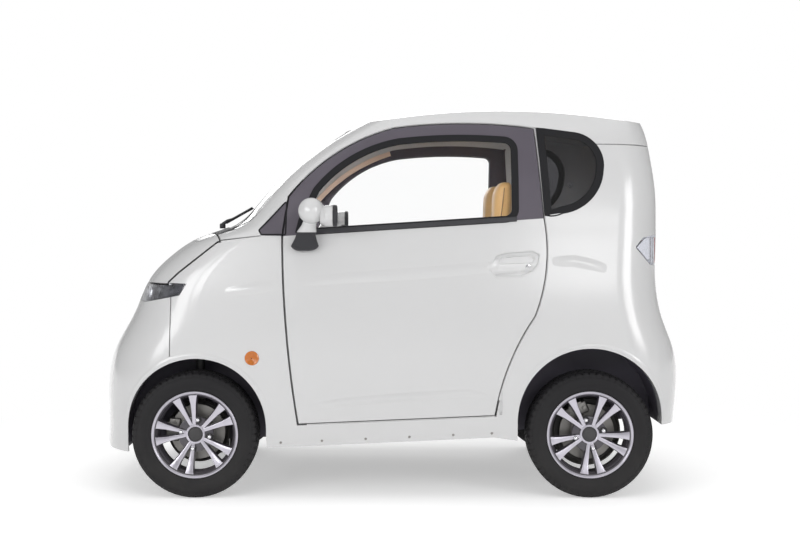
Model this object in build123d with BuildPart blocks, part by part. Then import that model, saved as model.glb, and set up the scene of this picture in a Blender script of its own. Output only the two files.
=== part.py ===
from build123d import *
from math import hypot
import os

# A two-seat electric microcar. Millimetres, +Z up, ground at z = 0, nose towards -X, left side at -Y.
# The origin is under the middle of the car, halfway along its length and width.

# ---------------------------------------------------------------- driving dimensions
WHEEL_R = 247.0            # tyre 135/70 R12, outside radius
TYRE_W = 135.0             # tyre section width
TYRE_BORE_R = 155.0        # tyre's inner radius, on the rim's bead seats
RIM_FLANGE_R = 169.5       # rim's outer lip
HUB_Y = 550.0              # middle plane of a tyre
KINGPIN_Y = 470.0          # steering axis of a front wheel
FRONT_X = -758.0           # front axle
REAR_X = 786.0             # rear axle
SPINDLE_R = 16.0           # stub axle
RUNNING_FIT = 0.05         # radial clearance of a bearing
WALL = 45.0                # whole thickness of a door or body wall
FRAME_WALL = 32.0          # whole thickness of the slim window frame
GLASS_DEPTH = 6.0          # how far a pane lies below the body's surface
GLASS_T = 4.0              # thickness of a pane
GAP = 7.0                  # gap round the bonnet and tailgate
DOOR_GAP = 8.0             # gap round the doors
DOOR_CORNER_GAP = 2.5      # what the gap gains at a door's upper rear corner, which swings out on a longer arc
SEAM = 4.0                 # width of the groove between two fixed panels
SEAM_DEPTH = 10.0          # its depth
NOSE_BOW_R = 1450.0        # plan radius of the nose
TAIL_BOW_R = 3000.0        # plan radius of the tail
ROOF_TOP = 1555.0          # crown of the roof
ROOF_TOP_X = 470.0         # where the roof is highest
ROOF_LONG_R = 3000.0       # roof's radius in side view
ROOF_CROSS_R = 3500.0      # roof's radius in front view

# Body waterlines. Columns: height, nose x, tail x, half width, nose corner radius, tail corner radius.
WATERLINES = (
    (170, -1185, 1169, 624, 268, 200),
    (210, -1186, 1171, 628, 268, 200),
    (400, -1186, 1184, 642, 270, 200),
    (560, -1157, 1178, 645, 270, 200),
    (700, -1082, 1129, 641, 260, 190),
    (860, -1006, 1104, 632, 240, 185),
    (940, -927, 1104, 623, 225, 182),
    (1020, -800, 1107, 612, 200, 180),
    (1065, -676, 1107, 605, 190, 177),
    (1180, -550, 1106, 588, 150, 170),
    (1340, -381, 1086, 552, 150, 160),
    (1480, -152, 1050, 495, 140, 150),
    (1530, -10, 1000, 455, 130, 130),
    (1600, 130, 930, 400, 120, 120),
)


# ---------------------------------------------------------------- the body's closed form
def slant(index, column):
    """How much longer than its depth a level inset is, where the surface leans."""
    low = WATERLINES[max(index - 1, 0)]
    high = WATERLINES[min(index + 1, len(WATERLINES) - 1)]
    rise, run = high[0] - low[0], high[column] - low[column]
    return min(hypot(rise, run) / rise, 3.2)


def body_form(inset):
    """The closed outer form of the body, taken in by inset on every side."""
    with BuildPart() as form:
        for index, (z, nose, tail, half, nose_r, tail_r) in enumerate(WATERLINES):
            nose_x = nose + inset * slant(index, 1)
            tail_x = tail - inset * slant(index, 2)
            side_y = half - inset * slant(index, 3)
            nose_side = nose_x + side_y**2 / (2 * NOSE_BOW_R)
            tail_side = tail_x - side_y**2 / (2 * TAIL_BOW_R)
            with BuildSketch(Plane.XY.offset(z)) as waterline:
                with BuildLine():
                    ThreePointArc((nose_side, -side_y), (nose_x, 0), (nose_side, side_y))
                    Line((nose_side, side_y), (tail_side, side_y))
                    ThreePointArc((tail_side, side_y), (tail_x, 0), (tail_side, -side_y))
                    Line((tail_side, -side_y), (nose_side, -side_y))
                make_face()
                fillet(waterline.vertices().sort_by(Axis.X)[:2], nose_r - inset / 2)
                fillet(waterline.vertices().sort_by(Axis.X)[-2:], tail_r - inset / 2)
        loft()
        # the roof: an arc in side view, turned about a low axis along the car
        axis_z = ROOF_TOP - ROOF_CROSS_R
        top = ROOF_TOP - inset
        front, rear = ROOF_TOP_X - 1800, ROOF_TOP_X + 1000
        front_z = top - (ROOF_TOP_X - front)**2 / (2 * ROOF_LONG_R)
        rear_z = top - (rear - ROOF_TOP_X)**2 / (2 * ROOF_LONG_R)
        with BuildSketch(Plane.XZ) as crown:
            with BuildLine():
                Polyline((front, front_z), (front, 0), (rear, 0), (rear, rear_z))
                ThreePointArc((rear, rear_z), (ROOF_TOP_X, top), (front, front_z))
            make_face()
        low_axis = Axis((0, 0, axis_z), (1, 0, 0))
        cap = revolve(crown.sketch.rotate(low_axis, -22), axis=low_axis, revolution_arc=44, mode=Mode.PRIVATE)
        add(cap, mode=Mode.INTERSECT)
    return form.part


# ---------------------------------------------------------------- cutters
def side_slab(outline, inner=250.0, outer=800.0):
    """Prism of a side-view outline on the left side, from |y| = inner to outer."""
    with BuildPart() as slab:
        with BuildSketch(Plane.XZ.offset(inner)):
            add(outline)
        extrude(amount=outer - inner)
    return slab.part


def polygon_xz(*points):
    """Side-view outline of straight edges."""
    with BuildSketch() as outline:
        with BuildLine():
            Polyline(*points, close=True)
        make_face()
    return outline.sketch


def both_sides(left):
    """A part of the left side with its mirror image on the right."""
    with BuildPart() as pair:
        add(left)
        mirror(about=Plane.XZ)
    return pair.part


# The door in side view: straight bottom, curved edges, and an arched window frame.
DOOR_FRONT_LOW, DOOR_REAR_LOW = (-350, 296), (410, 329)
BELT_FRONT, BELT_REAR = (-412, 1023), (604, 1092)
DOOR_NOSE_TOP, DOOR_ARCH, DOOR_TOP_REAR = (-390, 1176), (20, 1449), (574, 1448)


def door_shape(top_rear):
    """The door's outline, drawn to a given upper rear corner."""
    with BuildSketch() as outline:
        with BuildLine():
            Line(DOOR_FRONT_LOW, DOOR_REAR_LOW)
            ThreePointArc(DOOR_REAR_LOW, (458, 510), (565, 713))
            ThreePointArc((565, 713), (609, 890), BELT_REAR)
            Line(BELT_REAR, top_rear)
            ThreePointArc(top_rear, (300, 1468), DOOR_ARCH)
            ThreePointArc(DOOR_ARCH, (-196, 1354), DOOR_NOSE_TOP)
            Line(DOOR_NOSE_TOP, BELT_FRONT)
            ThreePointArc(BELT_FRONT, (-401, 740), DOOR_FRONT_LOW)
        make_face()
    return outline.sketch


door_outline = door_shape(DOOR_TOP_REAR)
with BuildSketch() as hole_sketch:
    add(door_shape((DOOR_TOP_REAR[0] + DOOR_CORNER_GAP, DOOR_TOP_REAR[1])))
    offset(amount=DOOR_GAP, kind=Kind.INTERSECTION)
door_hole = hole_sketch.sketch

# The recess of the outer door handle.
with BuildSketch() as handle_sketch:
    with BuildLine():
        Polyline((390, 894), (417, 946), (457, 958), (560, 965), (588, 952), (582, 916), (560, 886), (516, 867),
                 (417, 864), close=True)
    make_face()
    fillet(handle_sketch.vertices(), 8)
handle_outline = handle_sketch.sketch

# The door's window opening, and the belt line under it.
with BuildSketch() as window_sketch:
    with BuildLine():
        Line((-345, 1049), (485, 1101))
        Line((485, 1101), (485, 1392))
        ThreePointArc((485, 1392), (262, 1401), (44, 1387))
        ThreePointArc((44, 1387), (-136, 1320), (-276, 1197))
        Line((-276, 1197), (-345, 1049))
    make_face()
    fillet(window_sketch.vertices().sort_by(Axis.X)[-2:], 30)
window_outline = window_sketch.sketch
above_belt = polygon_xz((-900, 990), (-412, 1023), (604, 1092), (1000, 1119), (1000, 1600), (-900, 1600))

# The window behind the door.
with BuildSketch() as quarter_sketch:
    with BuildLine():
        Line((560, 1457), (560, 1096))
        Line((560, 1096), (681, 1114))
        ThreePointArc((681, 1114), (797, 1176), (842, 1284))
        ThreePointArc((842, 1284), (816, 1387), (738, 1432))
        Line((738, 1432), (560, 1457))
    make_face()
quarter_window = quarter_sketch.sketch

# The fixed black corner ahead of the door.
corner_outline = polygon_xz((-378, 1184), (-510, 1046), (-497, 1025), (-380, 1023))

# Bonnet: its side edges in side view, its rear edge and the windscreen's foot in plan.
BONNET_FRONT_Z = 838.0
bonnet_edge = ((-868, 844), (-825, 883), (-762, 932), (-672, 1003))
SCUTTLE_NOSE, SCREEN_FOOT = -755.0, -690.0
BONNET_BOW_R, SCREEN_BOW_R = 1900.0, 1700.0
bonnet_side = polygon_xz((-1250, BONNET_FRONT_Z), (-868, BONNET_FRONT_Z), *bonnet_edge, (-560, 1012),
                         (-560, 1200), (-1250, 1200))


def ahead_of(foot_x, bow_r, gap=0.0):
    """Everything ahead of a bowed line across the car, in plan."""
    with BuildPart() as region:
        with BuildSketch(Plane.XY.offset(700)):
            with BuildLine():
                reach = 700.0
                edge = foot_x - gap + reach**2 / (2 * bow_r)
                ThreePointArc((edge, -reach), (foot_x - gap, 0), (edge, reach))
                Polyline((edge, reach), (-1400, reach), (-1400, -reach), (edge, -reach))
            make_face()
        extrude(amount=900)
    return region.part


# Windscreen and tailgate in front view. Columns: half width, height.
def front_slab(outline, x_from, x_to):
    """Prism of a front-view outline between two stations along the car."""
    with BuildPart() as slab:
        with BuildSketch(Plane.YZ.offset(x_from)):
            add(outline)
        extrude(amount=x_to - x_from)
    return slab.part


def front_outline(corners, radius):
    """Front-view outline of rounded corners, mirrored from its right half."""
    with BuildSketch() as outline:
        with BuildLine():
            Polyline(*corners, *((-y, z) for y, z in reversed(corners)), close=True)
        make_face()
        fillet(outline.vertices(), radius)
    return outline.sketch


screen_outline = front_outline(((540, 980), (515, 1090), (420, 1458)), 55)
hatch_outline = front_outline(((432, 562), (432, 1200), (400, 1400)), 40)
hatch_window = front_outline(((385, 1035), (385, 1180), (340, 1345)), 45)
HATCH_FRONT, BODY_END = 880.0, 1300.0

# Wheel arches: circles in side view that open downwards.
ARCH_R, ARCH_X, ARCH_Z = 273.0, -750.0, 275.0
REAR_ARCH_R, REAR_ARCH_X, REAR_ARCH_Z = 284.0, 784.0, 303.0
LINER_R, LINER_X, LINER_Z = 292.0, -754.0, 258.0
LINER_INNER_Y, LINER_T = 355.0, 6.0
STEER_ROOM_R = 286.0       # round the kingpin, at the height of the wheel's centre


def arch_outline(x, z, radius):
    with BuildSketch() as outline:
        with Locations((x, z)):
            Circle(radius)
        with Locations((x, z / 2)):
            Rectangle(2 * radius, z)
    return outline.sketch


front_arch = arch_outline(ARCH_X, ARCH_Z, ARCH_R)
rear_arch = arch_outline(REAR_ARCH_X, REAR_ARCH_Z, REAR_ARCH_R)

# The body's lower edge in side view, from bumper to bumper.
below_body = polygon_xz((-1300, -50), (-1300, 184), (-1023, 176), (-454, 202), (-350, 205), (410, 240),
                        (507, 226), (1060, 285), (1300, 280), (1300, -50))

# ---------------------------------------------------------------- body skins
skin = body_form(0)
cavity = body_form(WALL)
pane_outer, pane_inner = body_form(GLASS_DEPTH), body_form(GLASS_DEPTH + GLASS_T)
groove_core = body_form(SEAM_DEPTH)
frame_core = body_form(FRAME_WALL)

screen_slab = front_slab(screen_outline, -900, 200)
hatch_slab = front_slab(hatch_outline, HATCH_FRONT, BODY_END)

# ---------------------------------------------------------------- body panels
def groove(start, end):
    """Shallow seam groove along a side-view line, for both neighbours."""
    run, rise = end[0] - start[0], end[1] - start[1]
    across = SEAM / 2 / hypot(run, rise)
    step = (-rise * across, run * across)
    line = polygon_xz((start[0] + step[0], start[1] + step[1]), (end[0] + step[0], end[1] + step[1]),
                      (end[0] - step[0], end[1] - step[1]), (start[0] - step[0], start[1] - step[1]))
    return side_slab(line, -900, 900) - groove_core


BUMPER_X, LAMP_TOP_Z = -850.0, 822.0
LEFT_SIDE = side_slab(polygon_xz((-1400, 0), (1400, 0), (1400, 1700), (-1400, 1700)), 0, 900)
roof_seam = ((800, 1387), (1300, 1378))
bumper_groove = groove((BUMPER_X, 400), (BUMPER_X, 800))
roof_groove = groove(*roof_seam)
cowl_groove = groove((-690, 1003), (-500, 1024))

headlamp_outline = polygon_xz((-1150, 840), (-868, 840), (-787, 838), (-815, 792), (-965, 762), (-1150, 750))
HEADLAMP_INNER_Y, HEADLAMP_DEPTH = 320.0, 38.0
tail_lamp_outline = polygon_xz((962, 980), (998, 1018), (1045, 1027), (1250, 1027), (1250, 905), (1030, 908),
                               (1012, 925))
TAIL_LAMP_INNER_Y = 452.0
MARKER_X, MARKER_Z, MARKER_R = -531.0, 550.0, 28.0

nose_region = side_slab(polygon_xz((-1300, 0), (BUMPER_X, 0), (BUMPER_X, BONNET_FRONT_Z),
                                   (-1300, BONNET_FRONT_Z)), -900, 900)
wing_region = side_slab(polygon_xz((BUMPER_X, 0), (BUMPER_X, BONNET_FRONT_Z), (-868, BONNET_FRONT_Z),
                                   *bonnet_edge, (-500, 1024), (-380, 1028), (-330, 420), (400, 420),
                                   (430, 331), (507, 331), (507, 0)), 0)
roof_region = side_slab(polygon_xz((-690, 1003), (-500, 1024), (-380, 1028), (-380, 1184), (-100, 1300),
                                   (560, 1400), (560, 1457), (738, 1432), (800, 1387), (1300, 1378),
                                   (1300, 1700), (-900, 1700)), -900, 900)
tail_region = side_slab(polygon_xz((507, 0), (507, 331), (440, 331), (440, 600), (560, 900), (560, 1457),
                                   (738, 1432), (800, 1387), (1300, 1378), (1300, 0)), 0)
bonnet_zone = side_slab(bonnet_side, -900, 900) & ahead_of(SCUTTLE_NOSE, BONNET_BOW_R)
with BuildSketch() as bonnet_gap_sketch:
    add(bonnet_side)
    offset(amount=GAP, kind=Kind.INTERSECTION)
bonnet_hole = side_slab(bonnet_gap_sketch.sketch, -900, 900) & ahead_of(SCUTTLE_NOSE + GAP, BONNET_BOW_R)
with BuildSketch() as hatch_gap_sketch:
    add(hatch_outline)
    offset(amount=GAP, kind=Kind.ARC)
hatch_hole = front_slab(hatch_gap_sketch.sketch, HATCH_FRONT, BODY_END)
headlamp_slab = both_sides(side_slab(headlamp_outline, HEADLAMP_INNER_Y))
tail_lamp_slab = both_sides(side_slab(tail_lamp_outline, TAIL_LAMP_INNER_Y))
door_holes = both_sides(side_slab(door_hole, 380))
lower_edge = side_slab(below_body, -900, 900)
arches = both_sides(side_slab(front_arch, LINER_INNER_Y) + side_slab(rear_arch, LINER_INNER_Y))
rear_bumper_slab = front_slab(front_outline(((440, 100), (440, 562 - GAP)), 10), HATCH_FRONT, BODY_END)
quarter_cut = both_sides(side_slab(quarter_window, 380))
corner_slab = both_sides(side_slab(corner_outline, 380))
with BuildPart() as steer_room:                                     # what a steered tyre sweeps, with room round it
    with Locations((FRONT_X, KINGPIN_Y, WHEEL_R), (FRONT_X, -KINGPIN_Y, WHEEL_R)):
        Sphere(STEER_ROOM_R)

with BuildPart() as front_bumper:
    add(nose_region)
    add(skin, mode=Mode.INTERSECT)
    add((cavity, headlamp_slab, lower_edge, arches, bonnet_hole, bumper_groove, steer_room.part),
        mode=Mode.SUBTRACT)

with BuildPart() as fender_left:
    add(wing_region)
    add(skin, mode=Mode.INTERSECT)
    for cut in (cavity, headlamp_slab, lower_edge, arches, bonnet_hole, bumper_groove, cowl_groove, door_holes,
                corner_slab, screen_slab, steer_room.part):
        add(cut, mode=Mode.SUBTRACT)
    with BuildSketch(Plane.XZ.offset(500)):
        with Locations((MARKER_X, MARKER_Z)):
            Circle(MARKER_R)
    extrude(amount=300, mode=Mode.SUBTRACT)

with BuildPart() as roof:
    add(roof_region)
    add(skin, mode=Mode.INTERSECT)
    add((cavity, bonnet_hole, door_holes, screen_slab, hatch_hole, quarter_cut, roof_groove, cowl_groove,
         corner_slab), mode=Mode.SUBTRACT)

with BuildPart() as quarter_left:
    add(tail_region)
    add(skin, mode=Mode.INTERSECT)
    add(cavity, mode=Mode.SUBTRACT)
    for cut in (lower_edge, arches, door_holes, hatch_hole, rear_bumper_slab, tail_lamp_slab, quarter_cut,
                roof_groove):
        add(cut, mode=Mode.SUBTRACT)

with BuildPart() as rear_bumper:
    add(rear_bumper_slab)
    add(skin, mode=Mode.INTERSECT)
    add((cavity, lower_edge, hatch_hole), mode=Mode.SUBTRACT)

screen_front = ahead_of(SCREEN_FOOT, SCREEN_BOW_R)
with BuildPart() as scuttle:
    add(screen_slab)
    add(screen_front, mode=Mode.INTERSECT)
    add(skin, mode=Mode.INTERSECT)
    add((cavity, bonnet_hole), mode=Mode.SUBTRACT)

with BuildPart() as windscreen:
    add(screen_slab)
    add(pane_outer, mode=Mode.INTERSECT)
    add((pane_inner, screen_front), mode=Mode.SUBTRACT)

with BuildPart() as bonnet:
    add(bonnet_zone)
    add(skin, mode=Mode.INTERSECT)
    add(cavity, mode=Mode.SUBTRACT)

hatch_window_slab = front_slab(hatch_window, HATCH_FRONT, BODY_END)
with BuildPart() as tailgate:
    add(hatch_slab)
    add(skin, mode=Mode.INTERSECT)
    add((cavity, hatch_window_slab), mode=Mode.SUBTRACT)

with BuildPart() as tailgate_glass:
    add(hatch_window_slab)
    add(pane_outer, mode=Mode.INTERSECT)
    add(pane_inner, mode=Mode.SUBTRACT)

with BuildPart() as quarter_glass:
    add(quarter_cut)
    add(pane_outer, mode=Mode.INTERSECT)
    add((pane_inner, door_holes), mode=Mode.SUBTRACT)

with BuildPart() as corner_trims:
    add(corner_slab)
    add(skin, mode=Mode.INTERSECT)
    add((cavity, door_holes), mode=Mode.SUBTRACT)

lamp_core = body_form(HEADLAMP_DEPTH)
with BuildPart() as headlamps:
    add(headlamp_slab)
    add(skin, mode=Mode.INTERSECT)
    add((lamp_core, bonnet_hole), mode=Mode.SUBTRACT)

with BuildPart() as tail_lamps:
    add(tail_lamp_slab)
    add(skin, mode=Mode.INTERSECT)
    add((lamp_core, hatch_hole), mode=Mode.SUBTRACT)

with BuildPart() as side_markers:
    with BuildSketch(Plane.XZ.offset(500)):
        with Locations((MARKER_X, MARKER_Z)):
            Circle(MARKER_R)
    extrude(amount=300)
    mirror(about=Plane.XZ)
    add(skin, mode=Mode.INTERSECT)
    add(cavity, mode=Mode.SUBTRACT)

# ---------------------------------------------------------------- doors
door_slab = side_slab(door_outline, 380)
window_slab = side_slab(window_outline, 380)
belt_slab = side_slab(above_belt, 380)
handle_recess = side_slab(handle_outline, 380) - groove_core

with BuildPart() as door_panel_left:
    add(door_slab)
    add(skin, mode=Mode.INTERSECT)
    add((cavity, belt_slab, handle_recess), mode=Mode.SUBTRACT)

with BuildPart() as door_frame_left:
    add(door_slab & belt_slab)
    add(skin, mode=Mode.INTERSECT)
    add((frame_core, window_slab), mode=Mode.SUBTRACT)

with BuildPart() as door_glass_left:
    add(window_slab)
    add(pane_outer, mode=Mode.INTERSECT)
    add(pane_inner, mode=Mode.SUBTRACT)

# Mirror: a flared foot on the door's corner, a ball, and the oval shell of the glass behind it.
MIRROR_X, MIRROR_Y, MIRROR_Z = -302.0, -728.0, 1120.0
MIRROR_FRONT, MIRROR_LENGTH = MIRROR_X + 34, 71.0
FOOT_CIRCLES = ((973, -325, -632, 46), (1085, -307, -712, 22))      # height, x, y, radius
with BuildPart() as mirror_left:
    with BuildSketch(Plane.YZ.offset(MIRROR_FRONT)):
        with Locations((MIRROR_Y - 2, MIRROR_Z - 20)):
            SlotOverall(128, 84)
    extrude(amount=MIRROR_LENGTH)
    fillet(mirror_left.edges().filter_by_position(Axis.X, MIRROR_FRONT - 1, MIRROR_FRONT + 1), 14)
    # the ball's poles point away from its neighbours
    with Locations(Plane(origin=(MIRROR_X, MIRROR_Y, MIRROR_Z), x_dir=(-1, 1, 0), z_dir=(-1, -1, 1))):
        Sphere(49)
    for height, x, y, radius in FOOT_CIRCLES:
        with BuildSketch(Plane.XY.offset(height)):
            with Locations((x, y)):
                Circle(radius)
    loft()
    add(skin, mode=Mode.SUBTRACT)

# ---------------------------------------------------------------- floor, axles and what they carry
FLOOR_Z, FLOOR_T = 258.0, 20.0
JACK_X, JACK_Y, JACK_PITCH_X = 15.0, 560.0, 630.0
RAIL_Y, FRONT_RAIL_Z, REAR_RAIL_Z, RAIL_H = 240.0, 262.0, 372.0, 80.0


def housing_room(x, z, radius):
    """The space that a pair of wheel housings takes."""
    return both_sides(side_slab(arch_outline(x, z, radius + LINER_T), LINER_INNER_Y - LINER_T))


with BuildPart() as underbody:
    with Locations((20, 0, FLOOR_Z)):
        Box(1000, 1180, FLOOR_T)                                    # cabin floor
    with Locations((-470, 0, 450)):
        Box(20, 2 * LINER_INNER_Y - 12, 450)                        # toe board
    with Locations((495, 0, 410)):
        Box(20, 2 * LINER_INNER_Y - 12, 376)                        # step behind the seats
    with Locations((810, 0, 600)):
        Box(650, 2 * LINER_INNER_Y - 12, 20)                        # boot floor
    with Locations((-800, RAIL_Y, FRONT_RAIL_Z), (-800, -RAIL_Y, FRONT_RAIL_Z)):
        Box(660, 60, RAIL_H)                                        # front rails
    with Locations((800, RAIL_Y, REAR_RAIL_Z), (800, -RAIL_Y, REAR_RAIL_Z)):
        Box(640, 60, RAIL_H)                                        # rear rails
    with Locations((-1110, 0, FRONT_RAIL_Z)):
        Box(40, 900, RAIL_H)                                        # front cross member
    with Locations((1110, 0, REAR_RAIL_Z)):
        Box(30, 900, RAIL_H)                                        # rear cross member
    with Locations((20, 560, 275), (20, -560, 275)):
        Box(960, 50, 60)                                            # sill beams
    with GridLocations(JACK_PITCH_X, 2 * JACK_Y, 2, 2):
        with Locations((JACK_X, 0, 242)):
            Box(60, 50, 8)                                          # jacking pads
    add(cavity, mode=Mode.INTERSECT)
    add((housing_room(LINER_X, LINER_Z, LINER_R), housing_room(REAR_ARCH_X, REAR_ARCH_Z, REAR_ARCH_R)),
        mode=Mode.SUBTRACT)

with BuildPart() as battery_pack:
    with Locations((190, 0, 326)):
        Box(420, 640, 116)                                          # on the floor, under the seats


def liner(x, z, radius):
    """Left wheel housing: an arched band and its inner wall, open below and outward."""
    with BuildPart() as housing:
        with BuildSketch(Plane.XZ.offset(LINER_INNER_Y - LINER_T)):
            add(arch_outline(x, z, radius + LINER_T))
        extrude(amount=300)
        with BuildSketch(Plane.XZ.offset(LINER_INNER_Y)):
            add(arch_outline(x, z, radius))
        extrude(amount=400, mode=Mode.SUBTRACT)
        add(cavity, mode=Mode.INTERSECT)
        add(lower_edge, mode=Mode.SUBTRACT)
    return housing.part


AXLE_R = 32.0
with BuildPart() as wheel_liners:
    add(both_sides(liner(LINER_X, LINER_Z, LINER_R)))
    add(both_sides(liner(REAR_ARCH_X, REAR_ARCH_Z, REAR_ARCH_R)))
    with BuildSketch(Plane.XZ.offset(-400)):                        # slots for the rear axle's travel
        with Locations((REAR_X, WHEEL_R)):
            Circle(AXLE_R + 10)
        with Locations((REAR_X, WHEEL_R / 2)):
            Rectangle(2 * AXLE_R + 20, WHEEL_R)
    extrude(amount=800, mode=Mode.SUBTRACT)

EYE_R, PIN_R = 20.0, 9.0
LOW_PIN_Z, HIGH_PIN_Z = 140.0, 365.0
BRACKET_LOW, SPRING_SEAT_LOW = 125.0, 276.0
with BuildPart() as suspension:
    for side in (-1, 1):
        with BuildSketch(Plane.XY.offset(LOW_PIN_Z - 12)):          # lower arm, rail to kingpin
            with BuildLine():
                Polyline((FRONT_X - 90, side * 262), (FRONT_X, side * KINGPIN_Y), (FRONT_X + 90, side * 262),
                         close=True)
            make_face()
            with Locations((FRONT_X, side * KINGPIN_Y)):
                Circle(EYE_R)
        extrude(amount=24)
        with Locations((FRONT_X, side * 262, BRACKET_LOW)):         # pivot bracket under the rail
            Box(190, 40, FRONT_RAIL_Z - RAIL_H / 2 - BRACKET_LOW, align=(Align.CENTER, Align.CENTER, Align.MIN))
        with Locations((FRONT_X, side * 445, 465)):
            Cylinder(18, 168)                                       # strut, up into the housing
        with Locations((FRONT_X, side * (KINGPIN_Y - 8), HIGH_PIN_Z)):
            Box(40, 40, 24)                                         # strut's foot
        with Locations((FRONT_X, side * KINGPIN_Y, LOW_PIN_Z), (FRONT_X, side * KINGPIN_Y, HIGH_PIN_Z)):
            Cylinder(PIN_R + RUNNING_FIT, 60, mode=Mode.SUBTRACT)
    with BuildSketch(Plane.XZ.offset(-440)):                        # rear axle tube
        with Locations((REAR_X, WHEEL_R)):
            Circle(AXLE_R)
    extrude(amount=880)
    with Locations((REAR_X, 0, WHEEL_R)):
        Box(220, 260, 210)                                          # motor and final drive
    with Locations((REAR_X - 20, RAIL_Y, SPRING_SEAT_LOW), (REAR_X - 20, -RAIL_Y, SPRING_SEAT_LOW)):
        Box(70, 60, REAR_RAIL_Z - RAIL_H / 2 - SPRING_SEAT_LOW,     # spring seats
            align=(Align.CENTER, Align.CENTER, Align.MIN))
    with BuildSketch(Plane.XZ.offset(-520)):                        # stub axles
        with Locations((REAR_X, WHEEL_R)):
            Circle(SPINDLE_R)
    extrude(amount=1040)

KNUCKLE_Y = KINGPIN_Y - 8
with BuildPart() as knuckle_left:
    with Locations((FRONT_X, -KNUCKLE_Y, (LOW_PIN_Z + HIGH_PIN_Z) / 2)):
        Box(60, 34, HIGH_PIN_Z - LOW_PIN_Z - 30)
    with Locations((FRONT_X, -KINGPIN_Y, (LOW_PIN_Z + HIGH_PIN_Z) / 2)):
        Cylinder(PIN_R, HIGH_PIN_Z - LOW_PIN_Z + 24)
    with BuildSketch(Plane.XZ.offset(KNUCKLE_Y)):
        with Locations((FRONT_X, WHEEL_R)):
            Circle(SPINDLE_R)
    extrude(amount=520 - KNUCKLE_Y)

# ---------------------------------------------------------------- wheels
RIM_INNER_Y, RIM_OUTER_Y = HUB_Y - 62.0, HUB_Y + 62.0
SPOKE_PAIRS = 5
BARREL_R = 148.0           # barrel, inside
SPOKE_ROOT, SPOKE_TIP = (50.0, 7.5, 13.0), (152.0, 33.5, 32.0)  # reach, offset from the pair's line, width
HUB_R, HUB_FACE_Y = 62.0, HUB_Y + 38.0


def tyre_part(x):
    """Left tyre: tread, round shoulders, bulged walls and beads on the rim."""
    with BuildPart() as tyre:
        with BuildSketch(Plane.YZ.offset(x)):
            with BuildLine():
                half = TYRE_W / 2
                Polyline((-HUB_Y - 46, WHEEL_R), (-HUB_Y + 46, WHEEL_R))
                ThreePointArc((-HUB_Y + 46, WHEEL_R), (-HUB_Y + 60, WHEEL_R - 7), (-HUB_Y + half - 3, WHEEL_R - 25))
                ThreePointArc((-HUB_Y + half - 3, WHEEL_R - 25), (-HUB_Y + half, WHEEL_R - 47), (-HUB_Y + 54, RIM_FLANGE_R))
                Polyline((-HUB_Y + 54, RIM_FLANGE_R), (-HUB_Y + 54, TYRE_BORE_R), (-HUB_Y - 54, TYRE_BORE_R),
                         (-HUB_Y - 54, RIM_FLANGE_R))
                ThreePointArc((-HUB_Y - 54, RIM_FLANGE_R), (-HUB_Y - half, WHEEL_R - 47), (-HUB_Y - half + 3, WHEEL_R - 25))
                ThreePointArc((-HUB_Y - half + 3, WHEEL_R - 25), (-HUB_Y - 60, WHEEL_R - 7), (-HUB_Y - 46, WHEEL_R))
            make_face()
        revolve(axis=Axis((x, 0, 0), (0, 1, 0)))
    return tyre.part.moved(Location((0, 0, WHEEL_R)))


def rim_part(x, first_angle):
    """Left rim: barrel with lips, five pairs of spokes, hub and brake disc."""
    with BuildPart() as rim:
        with BuildSketch(Plane.YZ.offset(x)):
            with BuildLine():
                Polyline((-RIM_INNER_Y, RIM_FLANGE_R), (-RIM_INNER_Y, BARREL_R), (-RIM_OUTER_Y, BARREL_R),
                         (-RIM_OUTER_Y, RIM_FLANGE_R), (-RIM_OUTER_Y + 8, RIM_FLANGE_R),
                         (-RIM_OUTER_Y + 8, TYRE_BORE_R), (-RIM_INNER_Y - 8, TYRE_BORE_R),
                         (-RIM_INNER_Y - 8, RIM_FLANGE_R), close=True)
            make_face()
        revolve(axis=Axis((x, 0, 0), (0, 1, 0)))
        with BuildSketch(Plane.XZ.offset(HUB_FACE_Y - 26)):         # spoke pairs, machined face outward
            with Locations((x, 0)):
                with PolarLocations(0, SPOKE_PAIRS, first_angle):
                    for flip in (-1, 1):
                        (root, near, slim), (tip, far, wide) = SPOKE_ROOT, SPOKE_TIP
                        Polygon((root, flip * (near - slim / 2)), (root, flip * (near + slim / 2)),
                                (tip, flip * (far + wide / 2)), (tip, flip * (far - wide / 2)), align=None)
                Circle(BARREL_R + 3, mode=Mode.INTERSECT)
        extrude(amount=26)
        with BuildSketch(Plane.XZ.offset(500)):                     # hub
            with Locations((x, 0)):
                Circle(HUB_R)
        extrude(amount=HUB_FACE_Y - 500)
        with BuildSketch(Plane.XZ.offset(500)):                     # brake disc
            with Locations((x, 0)):
                Circle(105)
        extrude(amount=14)
        with BuildSketch(Plane.XZ.offset(500)):                     # bearing bore, open inward
            with Locations((x, 0)):
                Circle(SPINDLE_R + RUNNING_FIT)
        extrude(amount=25, mode=Mode.SUBTRACT)
    return rim.part.moved(Location((0, 0, WHEEL_R)))


# ---------------------------------------------------------------- cabin
with BuildPart() as dashboard:
    with BuildSketch(Plane.XZ.offset(-545)):
        with BuildLine():
            Polyline((-460, 690), (-335, 720), (-320, 900), (-400, 985), (-560, 1000), (-560, 690), close=True)
        make_face()
    extrude(amount=1090)
    with Locations(Location((-250, -270, 850), (0, 70, 0))):
        Cylinder(24, 200)                                           # steering column
    add(body_form(WALL + 6), mode=Mode.INTERSECT)

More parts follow.
